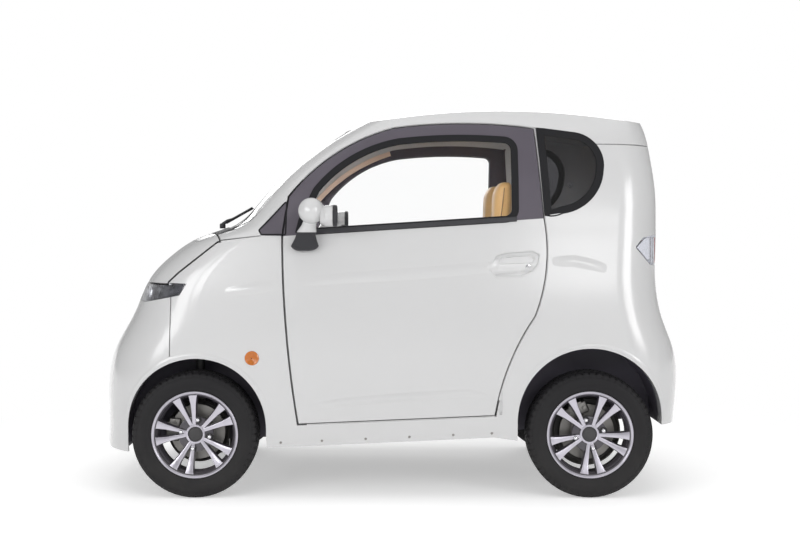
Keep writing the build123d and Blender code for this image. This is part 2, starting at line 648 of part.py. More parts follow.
WHEEL_TILT = 68.0
STEER_X, STEER_Y, STEER_Z = -125.0, -270.0, 896.0
with BuildPart() as steering_wheel:
    with BuildSketch(Plane.XZ) as grip:
        with Locations((172, 0)):
            Circle(14)
    revolve(axis=Axis.Z)
    with Locations((0, 0, -14)):
        Cylinder(46, 30)
    with BuildSketch(Plane.XY.offset(-12)):
        with PolarLocations(100, 3, 60):
            Rectangle(146, 30)
    extrude(amount=10)
steering_tilt = Location((STEER_X, STEER_Y, STEER_Z), (0, WHEEL_TILT, 0))

SEAT_W, SEAT_Y = 430.0, 245.0
with BuildPart() as seat_cushions:
    for side in (-1, 1):
        with BuildSketch(Plane.XZ.offset(-side * SEAT_Y - SEAT_W / 2)) as cushion:
            with BuildLine():
                Polyline((-30, 385), (-30, 480), (10, 505), (400, 470), (400, 385), close=True)
            make_face()
            fillet(cushion.vertices(), 16)
        extrude(amount=SEAT_W)

with BuildPart() as seat_backs:
    for side in (-1, 1):
        with BuildSketch(Plane.XZ.offset(-side * SEAT_Y - SEAT_W / 2)) as back:
            with BuildLine():
                Polyline((345, 480), (455, 470), (505, 1000), (415, 1000), close=True)
            make_face()
            fillet(back.vertices(), 20)
        extrude(amount=SEAT_W)
        with BuildSketch(Plane.XZ.offset(-side * SEAT_Y - 115)) as headrest:
            with BuildLine():
                Polyline((405, 960), (500, 960), (515, 1235), (440, 1262), (410, 1240), close=True)
            make_face()
            fillet(headrest.vertices().group_by(Axis.Z)[-1], 20)
        extrude(amount=230)

# Wiper: pivot, arm and blade ahead of the screen.
with BuildPart() as wiper:
    with Locations((-706, -150, 1046)):
        Cylinder(11, 60)
    with BuildSketch(Plane.XZ.offset(142)):
        with BuildLine():
            Polyline((-722, 1062), (-696, 1082), (-581, 1146), (-574, 1139), (-690, 1070), (-704, 1050), close=True)
        make_face()
    extrude(amount=14)
    add(skin, mode=Mode.SUBTRACT)

# ---------------------------------------------------------------- export
os.makedirs("parts", exist_ok=True)


def save(part, name):
    part.label = name
    export_step(part, f"parts/{name}.step")


for left, name in ((fender_left, "fender"), (quarter_left, "quarter"), (door_panel_left, "door_panel"),
                   (door_frame_left, "door_frame"), (door_glass_left, "door_glass"), (mirror_left, "mirror"),
                   (knuckle_left, "knuckle")):
    save(left.part, f"{name}_left")
    save(left.part.mirror(Plane.XZ), f"{name}_right")
for x, end, first_angle in ((FRONT_X, "front", 33.5), (REAR_X, "rear", 58.0)):
    for left, name in ((tyre_part(x), "tyre"), (rim_part(x, first_angle), "rim")):
        save(left, f"{name}_{end}_left")
        save(left.mirror(Plane.XZ), f"{name}_{end}_right")
steering_wheel.part.locate(steering_tilt)
for whole, name in ((underbody, "underbody"), (battery_pack, "battery_pack"), (front_bumper, "front_bumper"),
                    (roof, "roof"), (rear_bumper, "rear_bumper"), (windscreen, "windscreen"),
                    (scuttle, "scuttle"), (quarter_glass, "quarter_glass"), (corner_trims, "corner_trims"),
                    (headlamps, "headlamps"), (tail_lamps, "tail_lamps"), (side_markers, "side_markers"),
                    (wheel_liners, "wheel_liners"), (dashboard, "dashboard"), (seat_cushions, "seat_cushions"),
                    (seat_backs, "seat_backs"), (suspension, "suspension"), (wiper, "wiper"),
                    (bonnet, "bonnet"), (tailgate, "tailgate"), (tailgate_glass, "tailgate_glass"),
                    (steering_wheel, "steering_wheel")):
    save(whole.part, name)
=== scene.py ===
"""Looks of a two-seat electric microcar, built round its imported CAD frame."""

import math

import bmesh
import bpy
from mathutils import Matrix, Vector
from mathutils.bvhtree import BVHTree


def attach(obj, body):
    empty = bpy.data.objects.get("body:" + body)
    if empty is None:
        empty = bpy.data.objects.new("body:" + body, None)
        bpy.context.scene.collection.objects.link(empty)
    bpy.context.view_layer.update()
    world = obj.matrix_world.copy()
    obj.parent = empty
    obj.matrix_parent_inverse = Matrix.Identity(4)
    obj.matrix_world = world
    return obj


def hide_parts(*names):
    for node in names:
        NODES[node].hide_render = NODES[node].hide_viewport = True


bl_info = {
    "name": "Microcar looks",
    "version": (1, 0, 0),
    "blender": (4, 5, 0),
    "location": "3D View > Sidebar > Microcar",
    "description": "Trim, wheels, lamps, seats and finishes of an electric microcar",
    "category": "Object",
}

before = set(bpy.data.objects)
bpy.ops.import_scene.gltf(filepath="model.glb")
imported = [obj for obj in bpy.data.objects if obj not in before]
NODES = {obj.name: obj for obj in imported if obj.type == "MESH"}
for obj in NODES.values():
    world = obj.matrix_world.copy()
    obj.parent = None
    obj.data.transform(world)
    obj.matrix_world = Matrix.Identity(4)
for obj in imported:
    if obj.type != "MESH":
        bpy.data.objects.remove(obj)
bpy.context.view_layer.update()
MM = 0.001
SIDES = {"left": 1.0, "right": -1.0}  # the left side is modelled, the right is its mirror image

WHEEL_R, TYRE_W, RIM_R, BORE_R = 0.247, 0.135, 0.1695, 0.155
HUB_Y, SHIELD_Y = 0.550, 0.487
AXLE_X = {"front": -0.758, "rear": 0.786}

# the camera: where it stands, its sensor in mm, and its frame, focal length and off-axis shift in pixels
CAMERA_AT, SENSOR = (-0.015, -5.645, 1.039), 36.0
FRAME_PX, FOCAL_PX, SHIFT_PX = 800, 1291, (15, -34.5)


# ---------------------------------------------------------------- settings a user would change
class FinishSettings(bpy.types.PropertyGroup):
    """Colours of the car"""
    paint: bpy.props.FloatVectorProperty(
        name="Paint", description="Body colour", subtype="COLOR", size=3, default=(0.67, 0.67, 0.673))
    frame_grey: bpy.props.FloatVectorProperty(
        name="Window frame", description="Door window frame and corner trim", subtype="COLOR", size=3,
        default=(0.098, 0.086, 0.108))
    leather: bpy.props.FloatVectorProperty(
        name="Seats", description="Seat leather", subtype="COLOR", size=3, default=(0.80, 0.49, 0.20))
    alloy: bpy.props.FloatVectorProperty(
        name="Alloy", description="Machined wheel face", subtype="COLOR", size=3, default=(0.56, 0.54, 0.60))
    pocket: bpy.props.FloatVectorProperty(
        name="Wheel pockets", description="Painted recesses of the rims", subtype="COLOR", size=3,
        default=(0.045, 0.040, 0.055))


class WheelSettings(bpy.types.PropertyGroup):
    """Sizes of the wheels' details"""
    blocks: bpy.props.IntProperty(
        name="Tread blocks", description="Blocks round each shoulder of a tyre", default=56, min=12, max=90)
    groove: bpy.props.FloatProperty(
        name="Tread depth", description="Depth of the tread grooves", unit="LENGTH", default=0.006)
    lug_circle: bpy.props.FloatProperty(
        name="Lug circle", description="Radius of the circle of wheel nuts", unit="LENGTH", default=0.057)
    spoke_root: bpy.props.FloatProperty(
        name="Spoke root", description="Half width of a spoke at the hub", unit="LENGTH", default=0.0065)
    spoke_tip: bpy.props.FloatProperty(
        name="Spoke tip", description="Half width of a spoke at the lip", unit="LENGTH", default=0.0155)


class TrimSettings(bpy.types.PropertyGroup):
    """Size of the seals"""
    seal: bpy.props.FloatProperty(
        name="Window seal", description="Width of the seal round the door window", unit="LENGTH",
        default=0.024)


class StageSettings(bpy.types.PropertyGroup):
    """Floor and light"""
    floor: bpy.props.FloatVectorProperty(
        name="Floor", description="Floor colour", subtype="COLOR", size=3, default=(0.92, 0.92, 0.92))
    world: bpy.props.FloatProperty(
        name="Ambient", description="Strength of the soft light from all round", default=0.38)
    key: bpy.props.FloatProperty(
        name="Key light", description="Power of the large overhead light", unit="POWER", default=120.0)


def settings():
    return bpy.context.scene.microcar


class CarSettings(bpy.types.PropertyGroup):
    """All settings of the car"""
    finish: bpy.props.PointerProperty(type=FinishSettings)
    wheel: bpy.props.PointerProperty(type=WheelSettings)
    trim: bpy.props.PointerProperty(type=TrimSettings)
    stage: bpy.props.PointerProperty(type=StageSettings)


# ---------------------------------------------------------------- shared shader effects
def new_group(name, inputs, outputs):
    """An empty node group with the given float or vector inputs and its outputs."""
    tree = bpy.data.node_groups.new(name, "ShaderNodeTree")
    for label, kind, default in inputs:
        socket = tree.interface.new_socket(name=label, in_out="INPUT", socket_type=kind)
        if default is not None:
            socket.default_value = default
    for label, kind in outputs:
        tree.interface.new_socket(name=label, in_out="OUTPUT", socket_type=kind)
    return tree, tree.nodes.new("NodeGroupInput"), tree.nodes.new("NodeGroupOutput")


def add(nodes, kind, **inputs):
    """A new shader node with some inputs set: an underscore in a label stands for a space."""
    node = nodes.new(f"ShaderNode{kind}")
    for label, value in inputs.items():
        node.inputs[label.replace("_", " ")].default_value = value
    return node


def grain_group():
    """Fine grain as a height and slow cloudiness as a mask, in one group."""
    tree, source, sink = new_group(
        "Grain", (("Vector", "NodeSocketVector", None), ("Fine", "NodeSocketFloat", 900.0),
                  ("Slow", "NodeSocketFloat", 6.0)),
        (("Height", "NodeSocketFloat"), ("Cloud", "NodeSocketFloat")))
    for size, detail, result in (("Fine", 3.0, "Height"), ("Slow", 4.0, "Cloud")):
        noise = add(tree.nodes, "TexNoise", Detail=detail)
        tree.links.new(source.outputs["Vector"], noise.inputs["Vector"])
        tree.links.new(source.outputs[size], noise.inputs["Scale"])
        tree.links.new(noise.outputs["Fac"], sink.inputs[result])
    return tree


def road_dust_group():
    """Mask of dust that rises from the ground and fades out with height."""
    tree, source, sink = new_group(
        "Road dust", (("Vector", "NodeSocketVector", None), ("Top", "NodeSocketFloat", 0.45),
                      ("Amount", "NodeSocketFloat", 0.3)),
        (("Mask", "NodeSocketFloat"),))
    nodes, link = tree.nodes, tree.links.new
    split = add(nodes, "SeparateXYZ")
    fade = add(nodes, "MapRange", From_Min=0.05, To_Min=1.0, To_Max=0.0)
    patches = add(nodes, "TexNoise", Scale=14.0, Detail=6.0)
    broken, scaled = add(nodes, "Math"), add(nodes, "Math")
    broken.operation = scaled.operation = "MULTIPLY"
    link(source.outputs["Vector"], split.inputs["Vector"])
    link(source.outputs["Vector"], patches.inputs["Vector"])
    link(split.outputs["Z"], fade.inputs["Value"])
    link(source.outputs["Top"], fade.inputs["From Max"])
    link(fade.outputs["Result"], broken.inputs[0])
    link(patches.outputs["Fac"], broken.inputs[1])
    link(broken.outputs["Value"], scaled.inputs[0])
    link(source.outputs["Amount"], scaled.inputs[1])
    link(scaled.outputs["Value"], sink.inputs["Mask"])
    return tree


DUST = (0.34, 0.32, 0.29, 1.0)


def finish(name, colour, rough, metal=0.0, fine=900.0, slow=6.0, tone=0.06, gloss=0.08, bump=0.05, dust=0.0,
           **sockets):
    """A procedural material of one substance, with cloudy tone, changing gloss, grain and a little dust.

    fine and slow are the scales of the grain and the clouds, tone and gloss are how far colour and roughness
    swing with the clouds, bump is the grain's height in mm, and sockets are constant inputs of the shader.
    """
    if name in bpy.data.materials:
        return bpy.data.materials[name]
    material = bpy.data.materials.new(name)
    material.use_nodes = True
    nodes, link = material.node_tree.nodes, material.node_tree.links.new
    shader = nodes["Principled BSDF"]
    place, centre = add(nodes, "TexCoord"), add(nodes, "Mapping")
    link(place.outputs["Object"], centre.inputs["Vector"])
    grain = add(nodes, "Group")
    grain.node_tree = bpy.data.node_groups.get("Grain") or grain_group()
    grain.inputs["Fine"].default_value = fine
    grain.inputs["Slow"].default_value = slow
    link(centre.outputs["Vector"], grain.inputs["Vector"])
    shade = add(nodes, "Mix")
    shade.data_type = "RGBA"
    shade.inputs["A"].default_value = (*(c * (1 - tone) for c in colour), 1)
    shade.inputs["B"].default_value = (*(min(c * (1 + tone), 1) for c in colour), 1)
    link(grain.outputs["Cloud"], shade.inputs["Factor"])
    tint = shade
    level = add(nodes, "MapRange", To_Min=max(rough - gloss, 0.0), To_Max=min(rough + gloss, 1.0))
    link(grain.outputs["Cloud"], level.inputs["Value"])
    if dust:
        road = add(nodes, "Group")
        road.node_tree = bpy.data.node_groups.get("Road dust") or road_dust_group()
        road.inputs["Amount"].default_value = dust
        link(place.outputs["Object"], road.inputs["Vector"])
        tint = add(nodes, "Mix")
        tint.data_type = "RGBA"
        tint.inputs["B"].default_value = DUST
        link(road.outputs["Mask"], tint.inputs["Factor"])
        link(shade.outputs["Result"], tint.inputs["A"])
    link(tint.outputs["Result"], shader.inputs["Base Color"])
    link(level.outputs["Result"], shader.inputs["Roughness"])
    relief = add(nodes, "Bump", Distance=bump * MM)
    link(grain.outputs["Height"], relief.inputs["Height"])
    link(relief.outputs["Normal"], shader.inputs["Normal"])
    shader.inputs["Metallic"].default_value = metal
    for label, value in sockets.items():
        shader.inputs[label.replace("_", " ")].default_value = value
    return material


def glazing(name, colour, rough=0.0, **sockets):
    """Clear or tinted glass, plainly see-through."""
    if name in bpy.data.materials:
        return bpy.data.materials[name]
    material = finish(name, colour, rough, fine=300, slow=3, tone=0.01, gloss=0.012, bump=0.002,
                      Transmission_Weight=1.0, **sockets)
    # lamps shine in through the pane: it casts only a tinted shadow
    nodes, link = material.node_tree.nodes, material.node_tree.links.new
    rays, choice = add(nodes, "LightPath"), add(nodes, "MixShader")
    clear = add(nodes, "BsdfTransparent", Color=(*colour, 1))
    link(rays.outputs["Is Shadow Ray"], choice.inputs["Fac"])
    link(nodes["Principled BSDF"].outputs["BSDF"], choice.inputs[1])
    link(clear.outputs["BSDF"], choice.inputs[2])
    link(choice.outputs["Shader"], nodes["Material Output"].inputs["Surface"])
    return material


def palette():
    """Every finish of the car by name."""
    f = settings().finish
    black = (0.012, 0.012, 0.014)
    return {
        "paint": finish("paint_white", f.paint, 0.26, fine=420, slow=2.5, tone=0.012, gloss=0.03, bump=0.006,
                        dust=0.10, Coat_Weight=1.0, Coat_Roughness=0.15, Coat_IOR=1.5),
        "frame_grey": finish("satin_grey", f.frame_grey, 0.44, fine=700, slow=9, tone=0.10, gloss=0.07,
                             bump=0.03),
        "black_plastic": finish("grained_black", (0.022, 0.022, 0.026), 0.55, fine=950, slow=8, tone=0.18,
                                gloss=0.10, bump=0.09, dust=0.30),
        "charcoal": finish("charcoal_plastic", (0.050, 0.050, 0.055), 0.45, fine=900, slow=10, tone=0.15,
                           gloss=0.08, bump=0.04, Specular_IOR_Level=0.3),
        "rubber": finish("seal_rubber", black, 0.62, fine=1300, slow=12, tone=0.20, gloss=0.10, bump=0.03,
                         Specular_IOR_Level=0.25),
        "liner": finish("liner_plastic", (0.070, 0.064, 0.088), 0.48, fine=600, slow=5, tone=0.30, gloss=0.14,
                        bump=0.16, dust=0.16),
        "glass": glazing("clear_glass", (0.995, 0.998, 0.998), IOR=1.18),
        "privacy_glass": glazing("dark_glass", (0.22, 0.22, 0.23), IOR=1.40),
        "tyre": finish("tyre_rubber", (0.010, 0.0095, 0.011), 0.62, fine=800, slow=9, tone=0.28, gloss=0.12,
                       bump=0.08, dust=0.06, Specular_IOR_Level=0.30),
        "alloy": finish("machined_alloy", f.alloy, 0.31, metal=1.0, fine=1400, slow=22, tone=0.10, gloss=0.07,
                        bump=0.005),
        "pocket": finish("pocket_paint", f.pocket, 0.34, fine=900, slow=14, tone=0.16, gloss=0.08, bump=0.02,
                         dust=0.25, Coat_Weight=0.5, Coat_Roughness=0.12),
        "chrome": finish("chrome", (0.78, 0.78, 0.80), 0.10, metal=1.0, fine=900, slow=18, tone=0.05,
                         gloss=0.05, bump=0.004),
        "steel": finish("bare_steel", (0.30, 0.29, 0.28), 0.46, metal=1.0, fine=700, slow=16, tone=0.22,
                        gloss=0.14, bump=0.06, dust=0.25),
        "chassis": finish("chassis_black", (0.018, 0.018, 0.019), 0.48, fine=500, slow=7, tone=0.25,
                          gloss=0.14, bump=0.10, dust=0.50),
        "battery": finish("battery_case", (0.075, 0.08, 0.09), 0.50, metal=0.3, fine=600, slow=7, tone=0.14,
                          gloss=0.10, bump=0.05, dust=0.4),
        "lamp_dark": finish("lamp_housing", (0.05, 0.05, 0.06), 0.25, metal=0.6, fine=600, slow=20, tone=0.2,
                            gloss=0.1, bump=0.01),
        "lens": glazing("clear_lens", (0.92, 0.93, 0.96), IOR=1.48),
        "lamp_silver": finish("lamp_silver", (0.62, 0.62, 0.65), 0.18, metal=1.0, fine=500, slow=40,
                              tone=0.15, gloss=0.1, bump=0.01),
        "red": finish("red_plastic", (0.42, 0.015, 0.015), 0.22, fine=500, slow=30, tone=0.08, gloss=0.06,
                      bump=0.01, Coat_Weight=0.8, Coat_Roughness=0.05),
        "gloss_black": finish("gloss_black", (0.008, 0.008, 0.010), 0.12, fine=400, slow=10, tone=0.1,
                              gloss=0.05, bump=0.005),
        "piping": finish("seat_piping", (0.36, 0.19, 0.075), 0.50, fine=900, slow=20, tone=0.10, gloss=0.06,
                         bump=0.04),
        "red_lens": glazing("red_lens", (0.62, 0.16, 0.15), 0.06, IOR=1.48),
        "amber": finish("amber_lens", (0.90, 0.25, 0.012), 0.22, fine=500, slow=30, tone=0.06, gloss=0.05,
                        bump=0.01, Transmission_Weight=0.35, Coat_Weight=0.8, Coat_Roughness=0.05),
        "leather": finish("seat_leather", f.leather, 0.46, fine=420, slow=11, tone=0.10, gloss=0.08,
                          bump=0.16, Sheen_Weight=0.15, Sheen_Roughness=0.4),
        "beige_trim": finish("beige_trim", (0.84, 0.62, 0.49), 0.62, fine=1100, slow=10, tone=0.08,
                             gloss=0.06, bump=0.05),
        "mirror_glass": finish("mirror_glass", (0.88, 0.90, 0.92), 0.03, metal=1.0, fine=200, slow=3,
                               tone=0.01, gloss=0.02, bump=0.001),
    }


# ---------------------------------------------------------------- building blocks
def placed(name, bm, finishes, body, sharp=35.0):
    """Turns a bmesh into a piece that rides on a body. finishes is a name in the palette, or several."""
    mesh = bpy.data.meshes.new(name)
    bm.to_mesh(mesh)
    bm.free()
    colours = palette()
    for colour in (finishes,) if isinstance(finishes, str) else finishes:
        mesh.materials.append(colours[colour])
    mesh.polygons.foreach_set("use_smooth", [True] * len(mesh.polygons))
    mesh.set_sharp_from_angle(angle=math.radians(sharp))
    piece = bpy.data.objects.new(name, mesh)
    bpy.context.scene.collection.objects.link(piece)
    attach(piece, body)
    return piece


def flipped(bm):
    """The mirror image of a bmesh across the car's middle plane."""
    other = bm.copy()
    bmesh.ops.scale(other, vec=(1, -1, 1), verts=other.verts)
    bmesh.ops.reverse_faces(other, faces=other.faces)
    return other


def shift(bm, vec):
    """Moves a whole bmesh."""
    bmesh.ops.translate(bm, vec=vec, verts=bm.verts)


def swing(bm, angle, axis):
    """Turns a whole bmesh about an axis through the origin."""
    bmesh.ops.rotate(bm, cent=(0, 0, 0), matrix=Matrix.Rotation(angle, 3, axis), verts=bm.verts)


def round_edges(bm, edges, offset, segments):
    """Rounds some edges of a bmesh."""
    bmesh.ops.bevel(bm, geom=edges, offset=offset, segments=segments, profile=0.5, affect="EDGES",
                    material=-1)


def on_side(bm, side):
    """The bmesh of the left side, or its mirror image in its place for the right side."""
    if side == "left":
        return bm
    mirrored = flipped(bm)
    bm.free()
    return mirrored


def on_both_sides(name, build, finishes, body, sharp=35.0):
    """Builds the left piece and its mirror image. {side} in name and body stands for the side."""
    left = build()
    right = flipped(left)
    return {side: placed(name.format(side=side), bm, finishes, body.format(side=side), sharp)
            for side, bm in (("left", left), ("right", right))}


def merged_copy(names):
    """World vertices and faces of CAD nodes, for casting rays on them."""
    points, faces = [], []
    for name in names:
        mesh = NODES[name].data
        start = len(points)
        points += [v.co.copy() for v in mesh.vertices]
        faces += [[start + i for i in p.vertices] for p in mesh.polygons]
    return BVHTree.FromPolygons(points, faces)


SKINS = {
    "side": (merged_copy(["fender_left", "door_panel_left", "door_frame_left", "quarter_left", "roof",
                          "corner_trims", "front_bumper", "rear_bumper", "door_glass_left", "quarter_glass",
                          "headlamps", "tail_lamps", "bonnet", "scuttle"]), Vector((0, 1, 0))),
    "front": (merged_copy(["windscreen", "scuttle", "roof", "bonnet", "front_bumper", "headlamps"]),
              Vector((1, 0, 0))),
    "rear": (merged_copy(["tailgate", "tailgate_glass", "roof", "rear_bumper", "quarter_left",
                          "quarter_right", "tail_lamps"]), Vector((-1, 0, 0))),
}
FAR, PROBE = 3.0, 0.008


def cast(view, a, b):
    """Depth of the body's outer surface at one point of a view, or None."""
    tree, along = SKINS[view]
    point = Vector((a, -FAR, b)) if view == "side" else Vector((-along.x * FAR, a, b))
    hit = tree.ray_cast(point, along)[0]
    return None if hit is None else (hit.y if view == "side" else hit.x * along.x)


def depth(view, a, b):
    """Depth of the body's outer surface, carried across gaps from the panels on both sides of them."""
    found = [cast(view, a, b)]
    for da, db in ((PROBE, 0), (0, PROBE), (PROBE, PROBE), (PROBE, -PROBE), (2 * PROBE, 0), (0, 2 * PROBE)):
        pair = cast(view, a + da, b + db), cast(view, a - da, b - db)
        if None not in pair:
            found.append(sum(pair) / 2)
    found = [d for d in found if d is not None]
    return min(found) if found else None


def lay_on(bm, verts, view, proud):
    """Moves flat vertices, drawn in a view, onto the body, and proud of it."""
    along = SKINS[view][1]
    for v in verts:
        a, b = (v.co.x, v.co.z) if view == "side" else (v.co.y, v.co.z)
        d = depth(view, a, b)
        if d is None:
            continue
        if view == "side":
            v.co.y = d - proud
        else:
            v.co.x = (d - proud) * along.x


def arc(p0, p1, p2, count=12):
    """Points on the circular arc through three points of a view, without the last one."""
    (ax, ay), (bx, by), (cx, cy) = p0, p1, p2
    d = 2 * (ax * (by - cy) + bx * (cy - ay) + cx * (ay - by))
    ux = ((ax**2 + ay**2) * (by - cy) + (bx**2 + by**2) * (cy - ay) + (cx**2 + cy**2) * (ay - by)) / d
    uy = ((ax**2 + ay**2) * (cx - bx) + (bx**2 + by**2) * (ax - cx) + (cx**2 + cy**2) * (bx - ax)) / d
    r = math.hypot(ax - ux, ay - uy)
    t0, t1, t2 = (math.atan2(y - uy, x - ux) for x, y in (p0, p1, p2))
    turn = 2 * math.pi
    sweep, half = (t2 - t0) % turn, (t1 - t0) % turn
    if half > sweep:
        sweep -= turn
    return [(ux + r * math.cos(t0 + sweep * i / count), uy + r * math.sin(t0 + sweep * i / count))
            for i in range(count)]


def run(p0, p1, step=30.0):
    """Points along a straight line, without the last one."""
    count = max(1, round(math.dist(p0, p1) / step))
    return [(p0[0] + (p1[0] - p0[0]) * i / count, p0[1] + (p1[1] - p0[1]) * i / count) for i in range(count)]


def rounded(corners, radius, count=6):
    """A closed outline whose corners are rounded, with points along its straight sides."""
    points, n = [], len(corners)
    for i, here in enumerate(corners):
        before, after = corners[i - 1], corners[(i + 1) % n]
        r = radius[i] if isinstance(radius, (tuple, list)) else radius
        u = Vector((before[0] - here[0], before[1] - here[1])).normalized()
        w = Vector((after[0] - here[0], after[1] - here[1])).normalized()
        half = math.acos(max(-1, min(1, u.dot(w)))) / 2
        shorter = min(math.dist(before, here), math.dist(here, after))
        cut = min(r / max(math.tan(half), 1e-3), 0.49 * shorter)
        a, b = Vector(here) + u * cut, Vector(here) + w * cut
        for j in range(count + 1):
            t = j / count
            p = a * (1 - t)**2 + Vector(here) * 2 * t * (1 - t) + b * t**2
            points.append((p.x, p.y))
    return [q for p, after in zip(points, points[1:] + points[:1]) for q in run(p, after)]


def widened(points, amount, closed=True):
    """An outline moved sideways by amount: outward where it is drawn counterclockwise."""
    area = sum(p[0] * q[1] - q[0] * p[1] for p, q in zip(points, points[1:] + points[:1])) if closed else 1
    sign = 1 if area > 0 else -1
    moved, n = [], len(points)
    for i, p in enumerate(points):
        a = points[i - 1] if closed or i else p
        b = points[(i + 1) % n] if closed or i < n - 1 else p
        t = Vector((b[0] - a[0], b[1] - a[1])).normalized()
        moved.append((p[0] + t.y * amount * sign, p[1] - t.x * amount * sign))
    return moved


def flat_loop(bm, points, view, closed=True):
    """A loop of edges drawn in a view, from points in millimetres."""
    make = (lambda p: (p[0] * MM, 0, p[1] * MM)) if view == "side" else (lambda p: (0, p[0] * MM, p[1] * MM))
    verts = [bm.verts.new(make(p)) for p in points]
    pairs = zip(verts, verts[1:] + verts[:1]) if closed else zip(verts, verts[1:])
    return verts, [bm.edges.new(pair) for pair in pairs]


def turn_out(bm, along):
    """Turns the faces over where they look inward, which is along a view."""
    if sum((f.normal * f.calc_area() for f in bm.faces), Vector()).dot(along) > 0:
        bmesh.ops.reverse_faces(bm, faces=bm.faces)


def points_of(made):
    """The vertices among what an operator made."""
    return [g for g in made["geom"] if isinstance(g, bmesh.types.BMVert)]


def thicken(bm, view, proud, thick, round_off):
    """Lays a flat face region on the body, gives it depth inward and rounds its outer edges."""
    along = SKINS[view][1]
    lay_on(bm, bm.verts, view, proud)
    bmesh.ops.recalc_face_normals(bm, faces=bm.faces)
    turn_out(bm, along)
    outer = list(bm.faces)
    rim = [e for e in bm.edges if e.is_boundary]
    bmesh.ops.translate(bm, vec=along * thick, verts=points_of(bmesh.ops.extrude_edge_only(bm, edges=rim)))
    if round_off:
        rim = [e for e in bm.edges if len(e.link_faces) == 2
               and sum(f in outer for f in e.link_faces) == 1]
        round_edges(bm, rim, round_off, 3)
    bmesh.ops.recalc_face_normals(bm, faces=bm.faces)
    turn_out(bm, along)
    return bm


def bridged(lines, view, closed=True):
    """A flat region between two lines of a view."""
    bm = bmesh.new()
    edges = [e for line in lines for e in flat_loop(bm, line, view, closed)[1]]
    bmesh.ops.bridge_loops(bm, edges=edges)
    return bm


def filled(outline, view, rings=4):
    """A flat region inside an outline of a view, made of rings that shrink towards its middle."""
    bm = bmesh.new()
    cx, cz = (sum(p[axis] for p in outline) / len(outline) for axis in (0, 1))
    before = None
    for ring in range(rings):
        share = 1 - ring / rings
        edges = flat_loop(bm, [(cx + (x - cx) * share, cz + (z - cz) * share) for x, z in outline], view)[1]
        if before:
            bmesh.ops.bridge_loops(bm, edges=before + edges)
        before = edges
    bmesh.ops.contextual_create(bm, geom=before)
    return bm


def band(outer, inner, view="side", proud=0.0025, thick=0.006, round_off=0.0012):
    """A raised ring between two outlines of a view, laid on the body."""
    return thicken(bridged((outer, inner), view), view, proud, thick, round_off)


def strip(line, width, view="side", proud=0.0025, thick=0.006, round_off=0.0012):
    """A raised strip along an open line of a view, laid on the body."""
    lines = [widened(line, offset, closed=False) for offset in (-width / 2, width / 2)]
    return thicken(bridged(lines, view, closed=False), view, proud, thick, round_off)


def patch(outline, view="side", proud=0.001, thick=0.006, round_off=0.001, rings=4):
    """A raised plate inside an outline of a view, laid on the body."""
    return thicken(filled(outline, view, rings), view, proud, thick, round_off)


def spun(profile, steps, closed=False):
    """A ring or bowl about the Y axis from (y, radius) points in metres."""
    bm = bmesh.new()
    verts = [bm.verts.new((r, y, 0)) for y, r in profile]
    edges = [bm.edges.new(pair) for pair in zip(verts, verts[1:])]
    if closed:
        edges.append(bm.edges.new((verts[-1], verts[0])))
    bmesh.ops.spin(bm, geom=verts + edges, cent=(0, 0, 0), axis=(0, 1, 0), angle=2 * math.pi, steps=steps,
                   use_merge=True)
    bmesh.ops.remove_doubles(bm, verts=bm.verts, dist=1e-6)
    bmesh.ops.recalc_face_normals(bm, faces=bm.faces)
    return bm


def join(bm, other, matrix=None, material=None):
    """Adds another bmesh to bm, moved by matrix, with its faces given a material index."""
    mesh = bpy.data.meshes.new("part")
    if matrix is not None:
        bmesh.ops.transform(other, matrix=matrix, verts=other.verts)
    if material is not None:
        for f in other.faces:
            f.material_index = material
    other.to_mesh(mesh)
    other.free()
    bm.from_mesh(mesh)
    bpy.data.meshes.remove(mesh)


def block(low, high, round_off=0.0, segments=2):
    """A box between two corners with rounded edges."""
    bm = bmesh.new()
    bmesh.ops.create_cube(bm, size=1)
    size = [h - l for l, h in zip(low, high)]
    bmesh.ops.scale(bm, vec=size, verts=bm.verts)
    shift(bm, [(h + l) / 2 for l, h in zip(low, high)])
    if round_off:
        round_edges(bm, list(bm.edges), round_off, segments)
    return bm


def plate(outline, view, proud, thick, rings=4):
    """A closed plate inside an outline of a view, laid on the body; proud is below zero inside the car."""
    return closed_plate(filled(outline, view, rings), view, proud, thick)


def ring_plate(lines, view, proud, thick, closed=True):
    """A closed flat ring or strip between two lines of a view, laid on the body."""
    return closed_plate(bridged(lines, view, closed), view, proud, thick)


def closed_plate(bm, view, proud, thick):
    """Lays a flat region on the body and gives it a closed thickness inward."""
    lay_on(bm, bm.verts, view, proud)
    bmesh.ops.recalc_face_normals(bm, faces=bm.faces)
    return deepened(bm, SKINS[view][1] * thick)


def deepened(bm, step):
    """Gives an open region a closed thickness along a step."""
    made = bmesh.ops.extrude_face_region(bm, geom=list(bm.faces), use_keep_orig=True)
    bmesh.ops.translate(bm, vec=step, verts=points_of(made))
    bmesh.ops.recalc_face_normals(bm, faces=bm.faces)
    return bm


RIDGE_SINK, RIDGE_ROOT = 0.0006, 0.004  # how deep a crease's edges lie in the body, and its thickness


